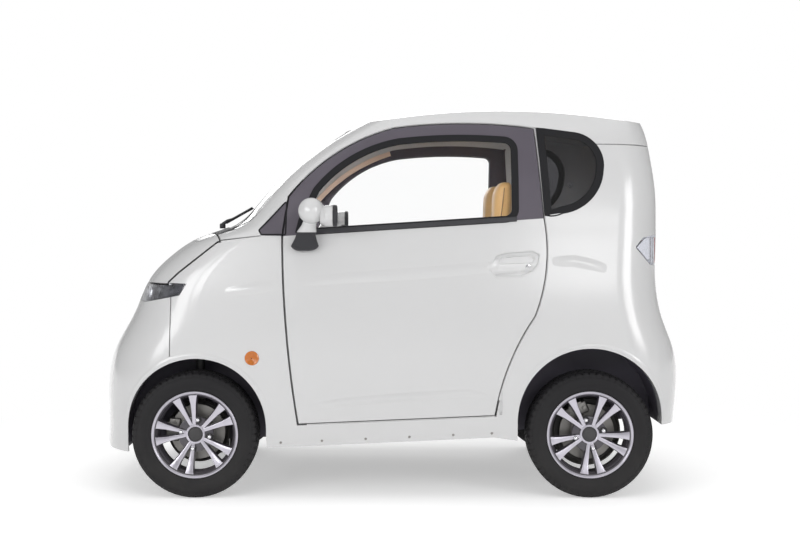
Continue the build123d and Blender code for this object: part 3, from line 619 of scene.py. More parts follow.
def ridge(line, width, height, view="side", columns=8):
    """A soft crease along a line of a view: it rises from the body and sinks back into it."""
    bm = bmesh.new()
    loops, shares = [], []
    for i in range(columns + 1):
        across = i / columns - 0.5
        verts, edges = flat_loop(bm, widened(line, width * across, closed=False), view, closed=False)
        rise = height * math.cos(math.pi * across)**2
        last = len(verts) - 1
        for k, v in enumerate(verts):
            fade = math.sin(math.pi * k / last)**0.8 if 0 < k < last else 0.0
            shares.append((v, rise * fade - RIDGE_SINK))
        loops.append(edges)
    for a, b in zip(loops, loops[1:]):
        bmesh.ops.bridge_loops(bm, edges=a + b)
    for v, lift in shares:
        lay_on(bm, [v], view, lift)
    bmesh.ops.recalc_face_normals(bm, faces=bm.faces)
    along = SKINS[view][1]
    turn_out(bm, along)
    return deepened(bm, along * RIDGE_ROOT)


def loft_rings(rings, caps=True):
    """A skin through closed rings of points, each a list of places in metres."""
    bm = bmesh.new()
    loops = []
    for ring in rings:
        verts = [bm.verts.new(p) for p in ring]
        loops.append([bm.edges.new(pair) for pair in zip(verts, verts[1:] + verts[:1])])
    for a, b in zip(loops, loops[1:]):
        bmesh.ops.bridge_loops(bm, edges=a + b)
    if caps:
        for end in (loops[0], loops[-1]):
            bmesh.ops.contextual_create(bm, geom=end)
    bmesh.ops.recalc_face_normals(bm, faces=bm.faces)
    return bm


def oval(centre, across, up, half_across, half_up, power=2.0, count=40):
    """Points of a rounded oval: power 2 is an ellipse, and more is squarer."""
    points = []
    for i in range(count):
        t = 2 * math.pi * i / count
        c, s = math.cos(t), math.sin(t)
        a = math.copysign(abs(c)**(2 / power), c) * half_across
        b = math.copysign(abs(s)**(2 / power), s) * half_up
        points.append(Vector(centre) + Vector(across) * a + Vector(up) * b)
    return points


def tube(path, radius, sides=10, closed=False):
    """A round tube along points in metres, tapered where radius is a list."""
    rings, n = [], len(path)
    up = Vector((0, 0, 1))
    for i, p in enumerate(path):
        a = path[i - 1] if closed or i else p
        b = path[(i + 1) % n] if closed or i < n - 1 else p
        t = (Vector(b) - Vector(a)).normalized()
        side = t.cross(up)
        if side.length < 0.1:
            side = t.cross(Vector((1, 0, 0)))
        side.normalize()
        r = radius[i] if isinstance(radius, (tuple, list)) else radius
        rings.append(oval(p, side, side.cross(t).normalized(), r, r, count=sides))
    if closed:
        bm = loft_rings(rings, caps=False)
        ends = [e for e in bm.edges if e.is_boundary]
        bmesh.ops.bridge_loops(bm, edges=ends)
        bmesh.ops.recalc_face_normals(bm, faces=bm.faces)
        return bm
    return loft_rings(rings)


def turned(profile, place, towards, steps=48):
    """A turned piece from (depth, radius) points: depth runs from place along towards."""
    bm = spun(profile, steps)
    turn = Vector((0, 1, 0)).rotation_difference(Vector(towards)).to_matrix().to_4x4()
    bmesh.ops.transform(bm, matrix=Matrix.Translation(place) @ turn, verts=bm.verts)
    return bm


def polyline(corners, step=18.0):
    """Points along straight stretches between corners, with the last one."""
    return [p for a, b in zip(corners, corners[1:]) for p in run(a, b, step)] + [corners[-1]]


# ---------------------------------------------------------------- outlines of the side view, in mm
BELT_FRONT, BELT_REAR = (-412, 1023), (604, 1092)
DOOR_NOSE_TOP, DOOR_ARCH, DOOR_TOP_REAR = (-390, 1176), (20, 1449), (574, 1448)
DOOR_FRONT_LOW, DOOR_REAR_LOW, DOOR_REAR_MID = (-350, 296), (410, 329), (565, 713)


def frame_edge():
    """Outer edge of the door's window frame above the belt, from its front foot to its rear foot."""
    return (run(BELT_FRONT, DOOR_NOSE_TOP) + arc(DOOR_NOSE_TOP, (-196, 1354), DOOR_ARCH, 24)
            + arc(DOOR_ARCH, (300, 1468), DOOR_TOP_REAR, 20) + run(DOOR_TOP_REAR, BELT_REAR) + [BELT_REAR])


def window_edge():
    """The door's window opening."""
    return (run((-345, 1049), (485, 1101))[:-1] + arc((455, 1099), (476, 1108), (485, 1131), 6)
            + run((485, 1131), (485, 1362)) + arc((485, 1362), (476, 1385), (455, 1394), 6)
            + arc((455, 1394), (262, 1401), (44, 1387), 16) + arc((44, 1387), (-136, 1320), (-276, 1197), 20)
            + run((-276, 1197), (-345, 1049)))


def quarter_edge():
    """The fixed window behind the door."""
    return (run((590, 1452), (613, 1104)) + arc((613, 1104), (660, 1106), (681, 1114), 4)
            + arc((681, 1114), (797, 1176), (842, 1284), 14) + arc((842, 1284), (816, 1387), (738, 1432), 12)
            + run((738, 1432), (590, 1452)))


def door_edge():
    """The whole door in side view."""
    return (run(DOOR_FRONT_LOW, DOOR_REAR_LOW) + arc(DOOR_REAR_LOW, (458, 510), DOOR_REAR_MID, 14)
            + arc(DOOR_REAR_MID, (609, 890), BELT_REAR, 14) + run(BELT_REAR, DOOR_TOP_REAR)
            + arc(DOOR_TOP_REAR, (300, 1468), DOOR_ARCH, 20) + arc(DOOR_ARCH, (-196, 1354), DOOR_NOSE_TOP, 24)
            + run(DOOR_NOSE_TOP, BELT_FRONT) + arc(BELT_FRONT, (-401, 740), DOOR_FRONT_LOW, 24))


def below(outline, height):
    """The part of an outline under a height, closed along it."""
    return [(x, min(z, height)) for x, z in outline]


# ---------------------------------------------------------------- stage and finishes
def seen_ray(nodes, link, glossy=True):
    """1 for rays from the camera and for rays through glass, and in gloss if asked."""
    rays = add(nodes, "LightPath")
    total = rays.outputs["Is Camera Ray"]
    for label in ("Is Transmission Ray", "Is Glossy Ray")[:2 if glossy else 1]:
        either = add(nodes, "Math")
        either.operation = "MAXIMUM"
        link(total, either.inputs[0])
        link(rays.outputs[label], either.inputs[1])
        total = either.outputs["Value"]
    return total


class MICROCAR_OT_stage(bpy.types.Operator):
    """Camera, pale floor and soft light"""
    bl_idname = "microcar.stage"
    bl_label = "Stage"

    def execute(self, context):
        scene, look = context.scene, settings().stage
        scene.view_settings.view_transform = "Standard"
        camera = bpy.data.objects.new("camera", bpy.data.cameras.new("camera"))
        scene.collection.objects.link(camera)
        camera.location = CAMERA_AT
        camera.rotation_euler = (math.pi / 2, 0, 0)
        camera.data.sensor_width = SENSOR
        camera.data.lens = SENSOR * FOCAL_PX / FRAME_PX
        camera.data.shift_x, camera.data.shift_y = (px / FRAME_PX for px in SHIFT_PX)
        scene.camera = camera

        bm = bmesh.new()
        bmesh.ops.create_circle(bm, cap_ends=True, segments=96, radius=40.0)
        mesh = bpy.data.meshes.new("floor")
        bm.to_mesh(mesh)
        bm.free()
        floor = bpy.data.objects.new("floor", mesh)
        scene.collection.objects.link(floor)
        material = bpy.data.materials.new("floor_pale")
        material.use_nodes = True
        nodes, link = material.node_tree.nodes, material.node_tree.links.new
        shader = nodes["Principled BSDF"]
        shader.inputs["Roughness"].default_value = 0.9
        shader.inputs["Specular IOR Level"].default_value = 0.1
        shader.inputs["Base Color"].default_value = (*look.floor, 1)
        mesh.materials.append(material)
        # seen directly, in gloss or through glass, the floor is lifted to white and fades into the backdrop
        seen = seen_ray(nodes, link)
        lift, white = add(nodes, "Emission", Strength=0.42), add(nodes, "Emission")
        lifted = add(nodes, "AddShader")
        link(shader.outputs["BSDF"], lifted.inputs[0])
        link(lift.outputs["Emission"], lifted.inputs[1])
        place, span = add(nodes, "TexCoord"), add(nodes, "VectorMath")
        span.operation = "LENGTH"
        link(place.outputs["Object"], span.inputs[0])
        fade = add(nodes, "MapRange", From_Min=1.3, From_Max=2.6)
        fade.interpolation_type = "SMOOTHSTEP"
        link(span.outputs["Value"], fade.inputs["Value"])
        open_floor = add(nodes, "MixShader")
        link(fade.outputs["Result"], open_floor.inputs["Fac"])
        link(lifted.outputs["Shader"], open_floor.inputs[1])
        link(white.outputs["Emission"], open_floor.inputs[2])
        choice = add(nodes, "MixShader")
        link(seen, choice.inputs["Fac"])
        link(shader.outputs["BSDF"], choice.inputs[1])
        link(open_floor.outputs["Shader"], choice.inputs[2])
        link(choice.outputs["Shader"], nodes["Material Output"].inputs["Surface"])

        world = bpy.data.worlds.new("studio")
        scene.world = world
        world.use_nodes = True
        nodes, link = world.node_tree.nodes, world.node_tree.links.new
        nodes.clear()
        out, mix = add(nodes, "OutputWorld"), add(nodes, "MixShader")
        light = add(nodes, "Background", Strength=look.world, Color=(1, 1, 1, 1))
        seen = add(nodes, "Background", Color=(1, 1, 1, 1))
        link(seen_ray(nodes, link, glossy=False), mix.inputs["Fac"])
        link(light.outputs["Background"], mix.inputs[1])
        link(seen.outputs["Background"], mix.inputs[2])
        link(mix.outputs["Shader"], out.inputs["Surface"])

        for name, place, size, power in (
                ("overhead", (0.2, -0.4, 4.4), (7.0, 5.0), look.key * 0.50),
                ("front_left", (-3.6, -4.4, 2.2), (2.0, 2.4), look.key * 0.50),
                ("rear_left", (3.6, -4.2, 2.0), (1.6, 2.2), look.key * 0.50),
                ("front_card", (-1.9, -5.0, 1.9), (1.1, 1.3), look.key * 0.20),
                ("rear_card", (1.5, -5.0, 1.8), (0.8, 1.4), look.key * 0.11),
                ("far_side", (0.0, 4.8, 2.6), (4.0, 2.0), look.key * 0.45)):
            lamp = bpy.data.lights.new(name, "AREA")
            lamp.shape, lamp.size, lamp.size_y, lamp.energy = "RECTANGLE", *size, power
            spot = bpy.data.objects.new(name, lamp)
            spot.location = place
            spot.rotation_euler = (Vector((0, 0, 0.7)) - Vector(place)).to_track_quat("-Z", "Y").to_euler()
            scene.collection.objects.link(spot)
        return {"FINISHED"}


CAD_FINISH = {
    "paint": ("front_bumper", "fender_left", "fender_right", "roof", "quarter_left", "quarter_right",
              "rear_bumper", "bonnet", "tailgate", "door_panel_left", "door_panel_right", "mirror_left",
              "mirror_right"),
    "frame_grey": ("door_frame_left", "door_frame_right", "corner_trims"),
    "black_plastic": ("scuttle", "dashboard", "steering_wheel", "wiper"),
    "liner": ("wheel_liners",),
    "glass": ("windscreen", "door_glass_left", "door_glass_right", "tailgate_glass"),
    "privacy_glass": ("quarter_glass",),
    "chassis": ("underbody", "suspension"),
    "steel": ("knuckle_left", "knuckle_right"),
    "battery": ("battery_pack",),
    "lens": ("headlamps",),
    "red_lens": ("tail_lamps",),
    "amber": ("side_markers",),
    "tyre": tuple(f"tyre_{e}_{s}" for e in AXLE_X for s in SIDES),
    "pocket": tuple(f"rim_{e}_{s}" for e in AXLE_X for s in SIDES),
    "leather": ("seat_cushions", "seat_backs"),
}


class MICROCAR_OT_finishes(bpy.types.Operator):
    """Procedural finishes of the frame's own panels and parts"""
    bl_idname = "microcar.finishes"
    bl_label = "Panel finishes"

    def execute(self, context):
        colours = palette()
        for name, nodes in CAD_FINISH.items():
            for node in nodes:
                mesh = NODES[node].data
                mesh.materials.clear()
                mesh.materials.append(colours[name])
        return {"FINISHED"}


class MICROCAR_OT_seals(bpy.types.Operator):
    """Window seals, belt mouldings and the seals ahead of the doors"""
    bl_idname = "microcar.seals"
    bl_label = "Seals"

    def execute(self, context):
        inner = window_edge()
        outer = widened(inner, settings().trim.seal / MM)
        on_both_sides("window_seal_{side}", lambda: band(outer, widened(inner, -3), proud=0.0035, thick=0.012,
                                                         round_off=0.003),
                      "rubber", "door_{side}")
        gap_line = run((-416, 1023), (-394, 1180)) + [(-394, 1180)]
        on_both_sides("corner_gap_seal_{side}", lambda: strip(gap_line, 7, proud=-0.004, thick=0.012,
                                                              round_off=0.001),
                      "rubber", "body")
        belt = rounded(((-300, 1030), (500, 1080), (500, 1099), (-300, 1049)), (9, 2, 2, 9), 4)
        on_both_sides("belt_moulding_{side}", lambda: patch(belt, proud=0.007, thick=0.014, round_off=0.003),
                      "charcoal", "door_{side}")
        return {"FINISHED"}


# ---------------------------------------------------------------- wheels
class MICROCAR_OT_tyres(bpy.types.Operator):
    """Four tyres with shoulder blocks, grooves and rings on their walls"""
    bl_idname = "microcar.tyres"
    bl_label = "Tyres"

    def execute(self, context):
        for end, x in AXLE_X.items():
            for side in SIDES:
                bm = tyre_mesh()
                shift(bm, (x, -HUB_Y, WHEEL_R))
                piece = placed(f"road_tyre_{end}_{side}", on_side(bm, side), "tyre",
                               f"wheel_{end}_{side}", 28)
                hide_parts(f"tyre_{end}_{side}")
        return {"FINISHED"}


def tyre_mesh():
    """One tyre about the Y axis: walls, beads and crown are spun, then the tread is cut into blocks."""
    look = settings().wheel
    r, half = WHEEL_R, TYRE_W / 2
    g = look.groove
    wall = [(0.054, BORE_R), (0.055, RIM_R - 0.002), (0.0595, RIM_R + 0.004), (0.0625, RIM_R + 0.012),
            (0.0625, RIM_R + 0.014), (0.0650, RIM_R + 0.024), (half, r - 0.047), (half - 0.0006, r - 0.040),
            (half - 0.0006, r - 0.0385), (half - 0.0004, r - 0.037), (half - 0.0016, r - 0.030),
            (half - 0.0030, r - 0.0235), (half - 0.0040, r - 0.022), (half - 0.0045, r - 0.016),
            (half - 0.0075, r - 0.0085), (half - 0.0130, r - 0.0035)]
    crown = [(0.0460, r - 0.0008), (0.0400, r - 0.0004), (0.0395, r - g), (0.0335, r - g), (0.0330, r),
             (0.0160, r), (0.0155, r - g), (0.0095, r - g), (0.0090, r)]
    side = wall + crown
    profile = side + [(-y, z) for y, z in reversed(side)]
    steps = look.blocks * 3
    bm = spun(profile, steps, closed=True)
    # every third column of the shoulders and of the ribs is pressed in, which leaves the blocks
    cut = []
    for f in bm.faces:
        c = f.calc_center_median()
        radius = math.hypot(c.x, c.z)
        if radius < r - 0.022 or radius < r - 0.9 * g and abs(c.y) < 0.041:
            continue
        column = int((math.atan2(c.z, c.x) / (2 * math.pi) % 1) * steps)
        lean = round(abs(c.y) / 0.012) if abs(c.y) < 0.046 else 0
        if (column + lean) % 3 == 0:
            cut.append(f)
    made = points_of(bmesh.ops.extrude_face_region(bm, geom=cut))
    bmesh.ops.delete(bm, geom=cut, context="FACES")
    for v in made:
        radius = math.hypot(v.co.x, v.co.z)
        deep = 0.004 if abs(v.co.y) < 0.060 else 0.0022
        v.co.x *= (radius - deep) / radius
        v.co.z *= (radius - deep) / radius
        if abs(v.co.y) > 0.060:
            v.co.y -= math.copysign(0.0022, v.co.y)
    return bm


SPOKE_ANGLES = {"front": 33.5, "rear": 58.0}
LUG_OFFSET = 43.5
CALLIPER_TILT = {"front": -84, "rear": -25}  # in front, level with the hub: clear of the struts when steered
CAP_R, HUB_RING_R, HUB_DISC_R = 0.0285, 0.038, 0.069
# a pair of spokes: how far each stands off the pair's middle line at two radii
SPREAD_ROOT, SPREAD_ROOT_AT, SPREAD_TIP, SPREAD_TIP_AT = 0.0075, 0.044, 0.0335, 0.152


def spoke_mesh(look):
    """One machined spoke along +X from the hub ring to the lip, its face towards -Y."""
    root, tip, lip = HUB_RING_R - 0.004, 0.149, 0.1605
    rows = ((root, look.spoke_root, -0.0385), (0.075, look.spoke_root * 1.18, -0.0415),
            (0.115, look.spoke_root * 1.55, -0.0470), (tip - 0.014, look.spoke_tip * 0.84, -0.0515),
            (tip, look.spoke_tip, -0.0535), (lip, look.spoke_tip * 1.30, -0.0545))
    slope, deep = 0.0035, 0.022
    bm = loft_rings([((x, face, -half), (x, face, half), (x, face + deep, half + slope),
                      (x, face + deep, -half - slope)) for x, half, face in rows])
    face_edges = [e for e in bm.edges if len(e.link_faces) == 2
                  and sum(f.normal.y < -0.8 for f in e.link_faces) == 1
                  and abs(e.verts[0].co.x - e.verts[1].co.x) > 1e-4]
    round_edges(bm, face_edges, 0.0014, 2)
    for f in bm.faces:
        f.material_index = 0 if f.normal.y < -0.55 else 1
    return bm


def rim_mesh(base_angle):
    """One rim about the Y axis: barrel, lip, five pairs of spokes, hub, nut wells and blank cap."""
    look = settings().wheel
    bm = bmesh.new()
    barrel = [(-0.0620, 0.1640), (-0.0620, 0.1675), (-0.0605, RIM_R), (-0.0560, RIM_R), (-0.0545, 0.1670),
              (-0.0540, BORE_R), (0.0540, BORE_R), (0.0545, 0.1670), (0.0560, RIM_R), (0.0620, RIM_R),
              (0.0620, 0.1600), (0.0500, 0.1515), (0.0160, 0.1500), (0.0100, 0.1450), (-0.0150, 0.1440),
              (-0.0200, 0.1475), (-0.0360, 0.1490), (-0.0400, 0.1525), (-0.0540, 0.1545), (-0.0575, 0.1590),
              (-0.0600, 0.1612)]
    join(bm, spun(barrel, 120, closed=True), material=1)
    for f in bm.faces:
        c = f.calc_center_median()
        if c.y < -0.0560 and math.hypot(c.x, c.z) > 0.1590:
            f.material_index = 0
    lean = math.atan2(SPREAD_TIP - SPREAD_ROOT, SPREAD_TIP_AT - SPREAD_ROOT_AT)
    for pair in range(5):
        for turn in (-1, 1):
            angle = math.radians(base_angle + 72 * pair)
            spoke = spoke_mesh(look)
            shift(spoke, (-SPREAD_ROOT_AT, 0, 0))
            swing(spoke, -lean * turn, "Y")
            shift(spoke, (SPREAD_ROOT_AT, 0, SPREAD_ROOT * turn))
            join(bm, spoke, Matrix.Rotation(-angle, 4, "Y"))
    disc = [(-0.0200, 0.001), (-0.0340, 0.001), (-0.0340, HUB_DISC_R - 0.004), (-0.0330, HUB_DISC_R - 0.001),
            (-0.0300, HUB_DISC_R), (-0.0100, HUB_DISC_R), (-0.0080, 0.050), (-0.0080, 0.001)]
    join(bm, spun(disc, 96), material=1)
    ring = [(-0.0300, HUB_RING_R), (-0.0385, HUB_RING_R), (-0.0400, HUB_RING_R - 0.0012),
            (-0.0405, CAP_R + 0.0025), (-0.0395, CAP_R + 0.001), (-0.0360, CAP_R + 0.0004), (-0.0300, CAP_R)]
    join(bm, spun(ring, 8 * 12), material=0)
    cap = [(-0.0300, CAP_R), (-0.0370, CAP_R), (-0.0385, CAP_R - 0.0012), (-0.0388, CAP_R - 0.004),
           (-0.0376, CAP_R - 0.0052), (-0.0376, CAP_R - 0.007), (-0.0392, 0.016), (-0.0400, 0.008),
           (-0.0402, 0.0006)]
    join(bm, spun(cap, 64), material=2)
    for k in range(4):
        angle = math.radians(base_angle - LUG_OFFSET + 90 * k)
        spot = Matrix.Rotation(-angle, 4, "Y") @ Matrix.Translation((look.lug_circle, 0, 0))
        well = [(-0.0300, 0.0148), (-0.0385, 0.0142), (-0.0395, 0.0132), (-0.0390, 0.0122), (-0.0345, 0.0115),
                (-0.0345, 0.0006)]
        join(bm, spun(well, 32), spot, material=2)
        nut = hexagon(0.0092, 0.012, (0, -0.0390, 0))
        round_edges(nut, list(nut.edges), 0.0008, 1)
        join(nut, spun([(-0.0449, 0.0078), (-0.0475, 0.0066), (-0.0495, 0.0038), (-0.0500, 0.0005)], 24))
        join(bm, nut, spot, material=3)
    return bm


def brake_mesh():
    """Brake disc and its bell about the Y axis."""
    disc = [(0.0360, 0.020), (0.0060, 0.020), (0.0050, 0.052), (0.0080, 0.058), (0.0300, 0.060),
            (0.0330, 0.064), (0.0330, 0.1080), (0.0340, 0.1090), (0.0430, 0.1090), (0.0440, 0.1080),
            (0.0440, 0.060), (0.0400, 0.052), (0.0400, 0.020)]
    return spun(disc, 72, closed=True)


def hexagon(radius, height, place):
    """A six-sided bolt head or nut whose axis runs along Y."""
    bm = bmesh.new()
    bmesh.ops.create_cone(bm, cap_ends=True, segments=6, radius1=radius, radius2=radius, depth=height)
    swing(bm, math.pi / 2, "X")
    shift(bm, place)
    return bm


def calliper_mesh():
    """Brake calliper that straddles the disc's edge, with its two rounded halves and bolts."""
    bm = bmesh.new()
    for y0, y1, low, high in ((0.018, 0.031, 0.070, 0.118), (0.046, 0.062, 0.066, 0.118)):
        join(bm, block((-0.045, y0, low), (0.045, y1, high), 0.006, 3))
    join(bm, block((-0.030, 0.018, 0.110), (0.030, 0.062, 0.124), 0.005, 3))
    for x in (-0.030, 0.030):
        join(bm, hexagon(0.007, 0.010, (x, 0.015, 0.094)))
    return bm


class MICROCAR_OT_rims(bpy.types.Operator):
    """Four alloy rims with machined spokes and wheel nuts, brake discs, callipers and shields"""
    bl_idname = "microcar.rims"
    bl_label = "Rims and brakes"

    def execute(self, context):
        finishes = ("alloy", "pocket", "black_plastic", "chrome")
        for end, x in AXLE_X.items():
            centre = Matrix.Translation((x, -HUB_Y, WHEEL_R))
            for side in SIDES:
                for name, bm, mats, body, slot in (
                        ("alloy_rim", rim_mesh(SPOKE_ANGLES[end]), finishes, f"wheel_{end}_{side}", "alloy"),
                        ("brake_disc", brake_mesh(), "steel", f"wheel_{end}_{side}", "steel"),
                        ("calliper", calliper_mesh(), "steel",
                         f"knuckle_{side}" if end == "front" else "body", "steel")):
                    if name == "calliper":
                        swing(bm, math.radians(CALLIPER_TILT[end]), "Y")
                    bmesh.ops.transform(bm, matrix=centre, verts=bm.verts)
                    piece = placed(f"{name}_{end}_{side}", on_side(bm, side), mats, body, 30)
                    if name == "alloy_rim":
                        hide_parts(f"rim_{end}_{side}")
        for end, x in AXLE_X.items():
            reach = 0.124 if end == "front" else 0.138
            dish = [(0.008, 0.0006), (0.008, reach - 0.010), (0.006, reach - 0.004), (-0.003, reach),
                    (-0.005, reach - 0.003), (-0.003, reach - 0.008), (0.002, reach - 0.012), (0.002, 0.060),
                    (-0.002, 0.055), (-0.002, 0.0006)]
            for side, sign in SIDES.items():
                shield = turned(dish, (x, -sign * SHIELD_Y, WHEEL_R), (0, sign, 0), 64)
                placed(f"brake_shield_{end}_{side}", shield, "chassis",
                       f"knuckle_{side}" if end == "front" else "body", 40)
        return {"FINISHED"}


# ---------------------------------------------------------------- lamps
def skin_of(node, keep):
    """A merged copy of the faces of a CAD node that keep(face) chooses."""
    bm = bmesh.new()
    bm.from_mesh(NODES[node].data)
    bmesh.ops.remove_doubles(bm, verts=bm.verts, dist=1e-5)
    bm.normal_update()
    bmesh.ops.delete(bm, geom=[f for f in bm.faces if not keep(f)], context="FACES")
    return bm


HEART_Z = 0.75  # height of the point that the outer faces look away from


def faces_out(face):
    """Whether a face of a body panel looks away from the car."""
    centre = face.calc_center_median()
    away = Vector((centre.x, centre.y, centre.z - HEART_Z)).normalized()
    return face.normal.dot(away) > 0.35


def shell_from(bm, thick):
    """Gives an open skin a wall inward and closes it."""
    bm.normal_update()
    bmesh.ops.solidify(bm, geom=list(bm.faces), thickness=thick)
    bmesh.ops.recalc_face_normals(bm, faces=bm.faces)
    return bm


def bowl(radius, depth_in):
    """Profile of a lamp's reflector bowl with a rolled lip and a bulb cover."""
    return [(0.0, radius + 0.0015), (-0.0012, radius + 0.0005), (-0.0008, radius - 0.001),
            (depth_in * 0.3, radius * 0.93), (depth_in * 0.7, radius * 0.72), (depth_in, radius * 0.42),
            (depth_in, radius * 0.30), (depth_in * 0.55, radius * 0.28), (depth_in * 0.45, radius * 0.2),
            (depth_in * 0.42, 0.0006)]


class MICROCAR_OT_lamps(bpy.types.Operator):
    """Headlamps, tail lamps and side markers with their lenses, bowls and reflectors"""
    bl_idname = "microcar.lamps"
    bl_label = "Lamps"

    def execute(self, context):
        for node, housing, slot in (("headlamps", "lamp_dark", "lamp"),
                                    ("tail_lamps", "lamp_silver", "red_lamp")):
            outer = shell_from(skin_of(node, faces_out), 0.0025)
            cover = placed(f"{node}_cover", outer, "lens", "body")
            inner = skin_of(node, lambda f: not faces_out(f))
            bmesh.ops.reverse_faces(inner, faces=inner.faces)
            case = placed(f"{node}_case", shell_from(inner, -0.001), housing, "body", 50)
            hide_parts(node)
            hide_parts(node)
        # bowls behind the front lens: one faces ahead, one at the corner
        for side, sign in SIDES.items():
            for name, y, z, radius, lean in (("main", 0.395, 0.796, 0.024, 0.15),
                                             ("dip", 0.475, 0.800, 0.022, 0.5)):
                place = Vector((cast("front", y, z) + 0.010, -y * sign, z))
                bm = turned(bowl(radius, 0.020), place, Vector((1, lean * sign, 0)).normalized())
                placed(f"headlamp_bowl_{name}_{side}", bm, "chrome", "body")
        # facets of the tail lamp: three silver wedges and a red one round the corner
        for name, outline, colour in (
                ("tip", ((968, 979), (1004, 1014), (1030, 1018), (1030, 930), (1014, 930)), "chrome"),
                ("middle", ((1033, 1019), (1045, 1020), (1045, 915), (1033, 916)), "lamp_silver"),
                ("edge", ((1047, 1020), (1054, 1020), (1054, 915), (1047, 915)), "chrome"),
                ("corner", ((1056, 1019), (1061, 1019), (1061, 916), (1056, 916)), "red")):
            edge = rounded(outline, 2, 3)
            on_both_sides(f"tail_facet_{name}_{{side}}",
                          lambda: patch(edge, proud=-0.0045, thick=0.012, round_off=0.004, rings=3),
                          colour, "body")
        # side marker: a ribbed amber disc in a thin seat
        x, z, radius = -0.531, 0.550, 0.028
        ribs = [(0.004, radius), (0.0, radius), (-0.0035, radius - 0.0015)]
        for k in range(6):
            r = (radius - 0.004) * (1 - k / 6)
            ribs += [(-0.0050 - 0.0004 * k, r), (-0.0040 - 0.0004 * k, max(r - 0.0022, 0.0005))]
        skin = sum(cast("side", x, z + step) for step in (-0.034, 0.034)) / 2
        for piece in on_both_sides("marker_lens_{side}", lambda: turned(ribs, (x, skin, z), (0, 1, 0), 56),
                                   "amber", "body", 20).values():
            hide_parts("side_markers")
        return {"FINISHED"}


# ---------------------------------------------------------------- mirrors, handles and wiper
class MICROCAR_OT_mirrors(bpy.types.Operator):
    """Ball mirrors on black feet, with their glass"""
    bl_idname = "microcar.mirrors"
    bl_label = "Mirrors"

    def execute(self, context):
        ball = Vector((-0.296, -0.728, 1.120))
        across, up = Vector((0, 1, 0)), Vector((0, 0, 1))
        shell_y, shell_z = -0.730, 1.100

        def shell(rows, power, caps=True):
            """A loft of squarish rings about the shell's axis from (x, half width, half height)."""
            return loft_rings([oval((x, shell_y, shell_z), across, up, a, b, power) for x, a, b in rows],
                              caps)

        def pod():
            bm = bmesh.new()
            bmesh.ops.create_uvsphere(bm, u_segments=48, v_segments=32, radius=0.0500)
            shift(bm, ball)
            rows = ((-0.262, 0.034, 0.030), (-0.254, 0.042, 0.0345), (-0.246, 0.0500, 0.0385),
                    (-0.240, 0.0600, 0.0405), (-0.213, 0.0632, 0.0415), (-0.211, 0.0625, 0.0408),
                    (-0.211, 0.0590, 0.0375), (-0.217, 0.0585, 0.0370))
            join(bm, shell(rows, 2.2))
            skirt = ((1.038, -0.3160, -0.680, 0.0375), (1.041, -0.3160, -0.682, 0.0380),
                     (1.052, -0.3120, -0.692, 0.0330), (1.066, -0.3060, -0.704, 0.0285),
                     (1.082, -0.3000, -0.716, 0.0270))
            join(bm, loft_rings([oval((x, y, z), (1, 0, 0), (0, 1, 0), r, r, count=48)
                                 for z, x, y, r in skirt]))
            return bm

        def rim():
            rows = ((-0.2125, 0.0640, 0.0420), (-0.2050, 0.0640, 0.0420), (-0.1985, 0.0625, 0.0405),
                    (-0.1975, 0.0605, 0.0385), (-0.1990, 0.0585, 0.0365), (-0.2070, 0.0580, 0.0360),
                    (-0.2125, 0.0590, 0.0370), (-0.2125, 0.0640, 0.0420))
            bm = shell(rows, 2.5, caps=False)
            bmesh.ops.remove_doubles(bm, verts=bm.verts, dist=1e-6)
            bmesh.ops.recalc_face_normals(bm, faces=bm.faces)
            return bm

        def glass():
            rows = ((-0.2080, 0.0582, 0.0362), (-0.2040, 0.0582, 0.0362), (-0.2030, 0.0570, 0.0352),
                    (-0.2020, 0.0300, 0.0180))
            return shell(rows, 2.5)

        def foot():
            rows = ((0.966, -0.6340, 0.024, 0.014), (0.968, -0.6345, 0.034, 0.022),
                    (0.973, -0.6360, 0.045, 0.029), (0.980, -0.6380, 0.052, 0.034),
                    (0.985, -0.6400, 0.054, 0.036), (0.992, -0.6440, 0.051, 0.035),
                    (1.010, -0.6560, 0.043, 0.034), (1.028, -0.6690, 0.0375, 0.034),
                    (1.037, -0.6760, 0.0362, 0.0350), (1.040, -0.6790, 0.0340, 0.0330))
            return loft_rings([oval((-0.3255 + (z - 0.985) * 0.13, y, z), (1, 0, 0), (0, 1, 0), a, b,
                                    count=48) for z, y, a, b in rows])

        for name, build, colour, sharp in (("pod", pod, "paint", 50), ("rim", rim, "black_plastic", 50),
                                           ("glass", glass, "mirror_glass", 50),
                                           ("foot", foot, "black_plastic", 40)):
            pair = on_both_sides(f"mirror_{name}_{{side}}", build, colour, "door_{side}", sharp)
            for side, piece in pair.items():
                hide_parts(f"mirror_{side}")
        return {"FINISHED"}


HANDLE = ((390, 894), (417, 946), (457, 958), (560, 965), (588, 952), (582, 916), (560, 886), (516, 867),
          (417, 864))


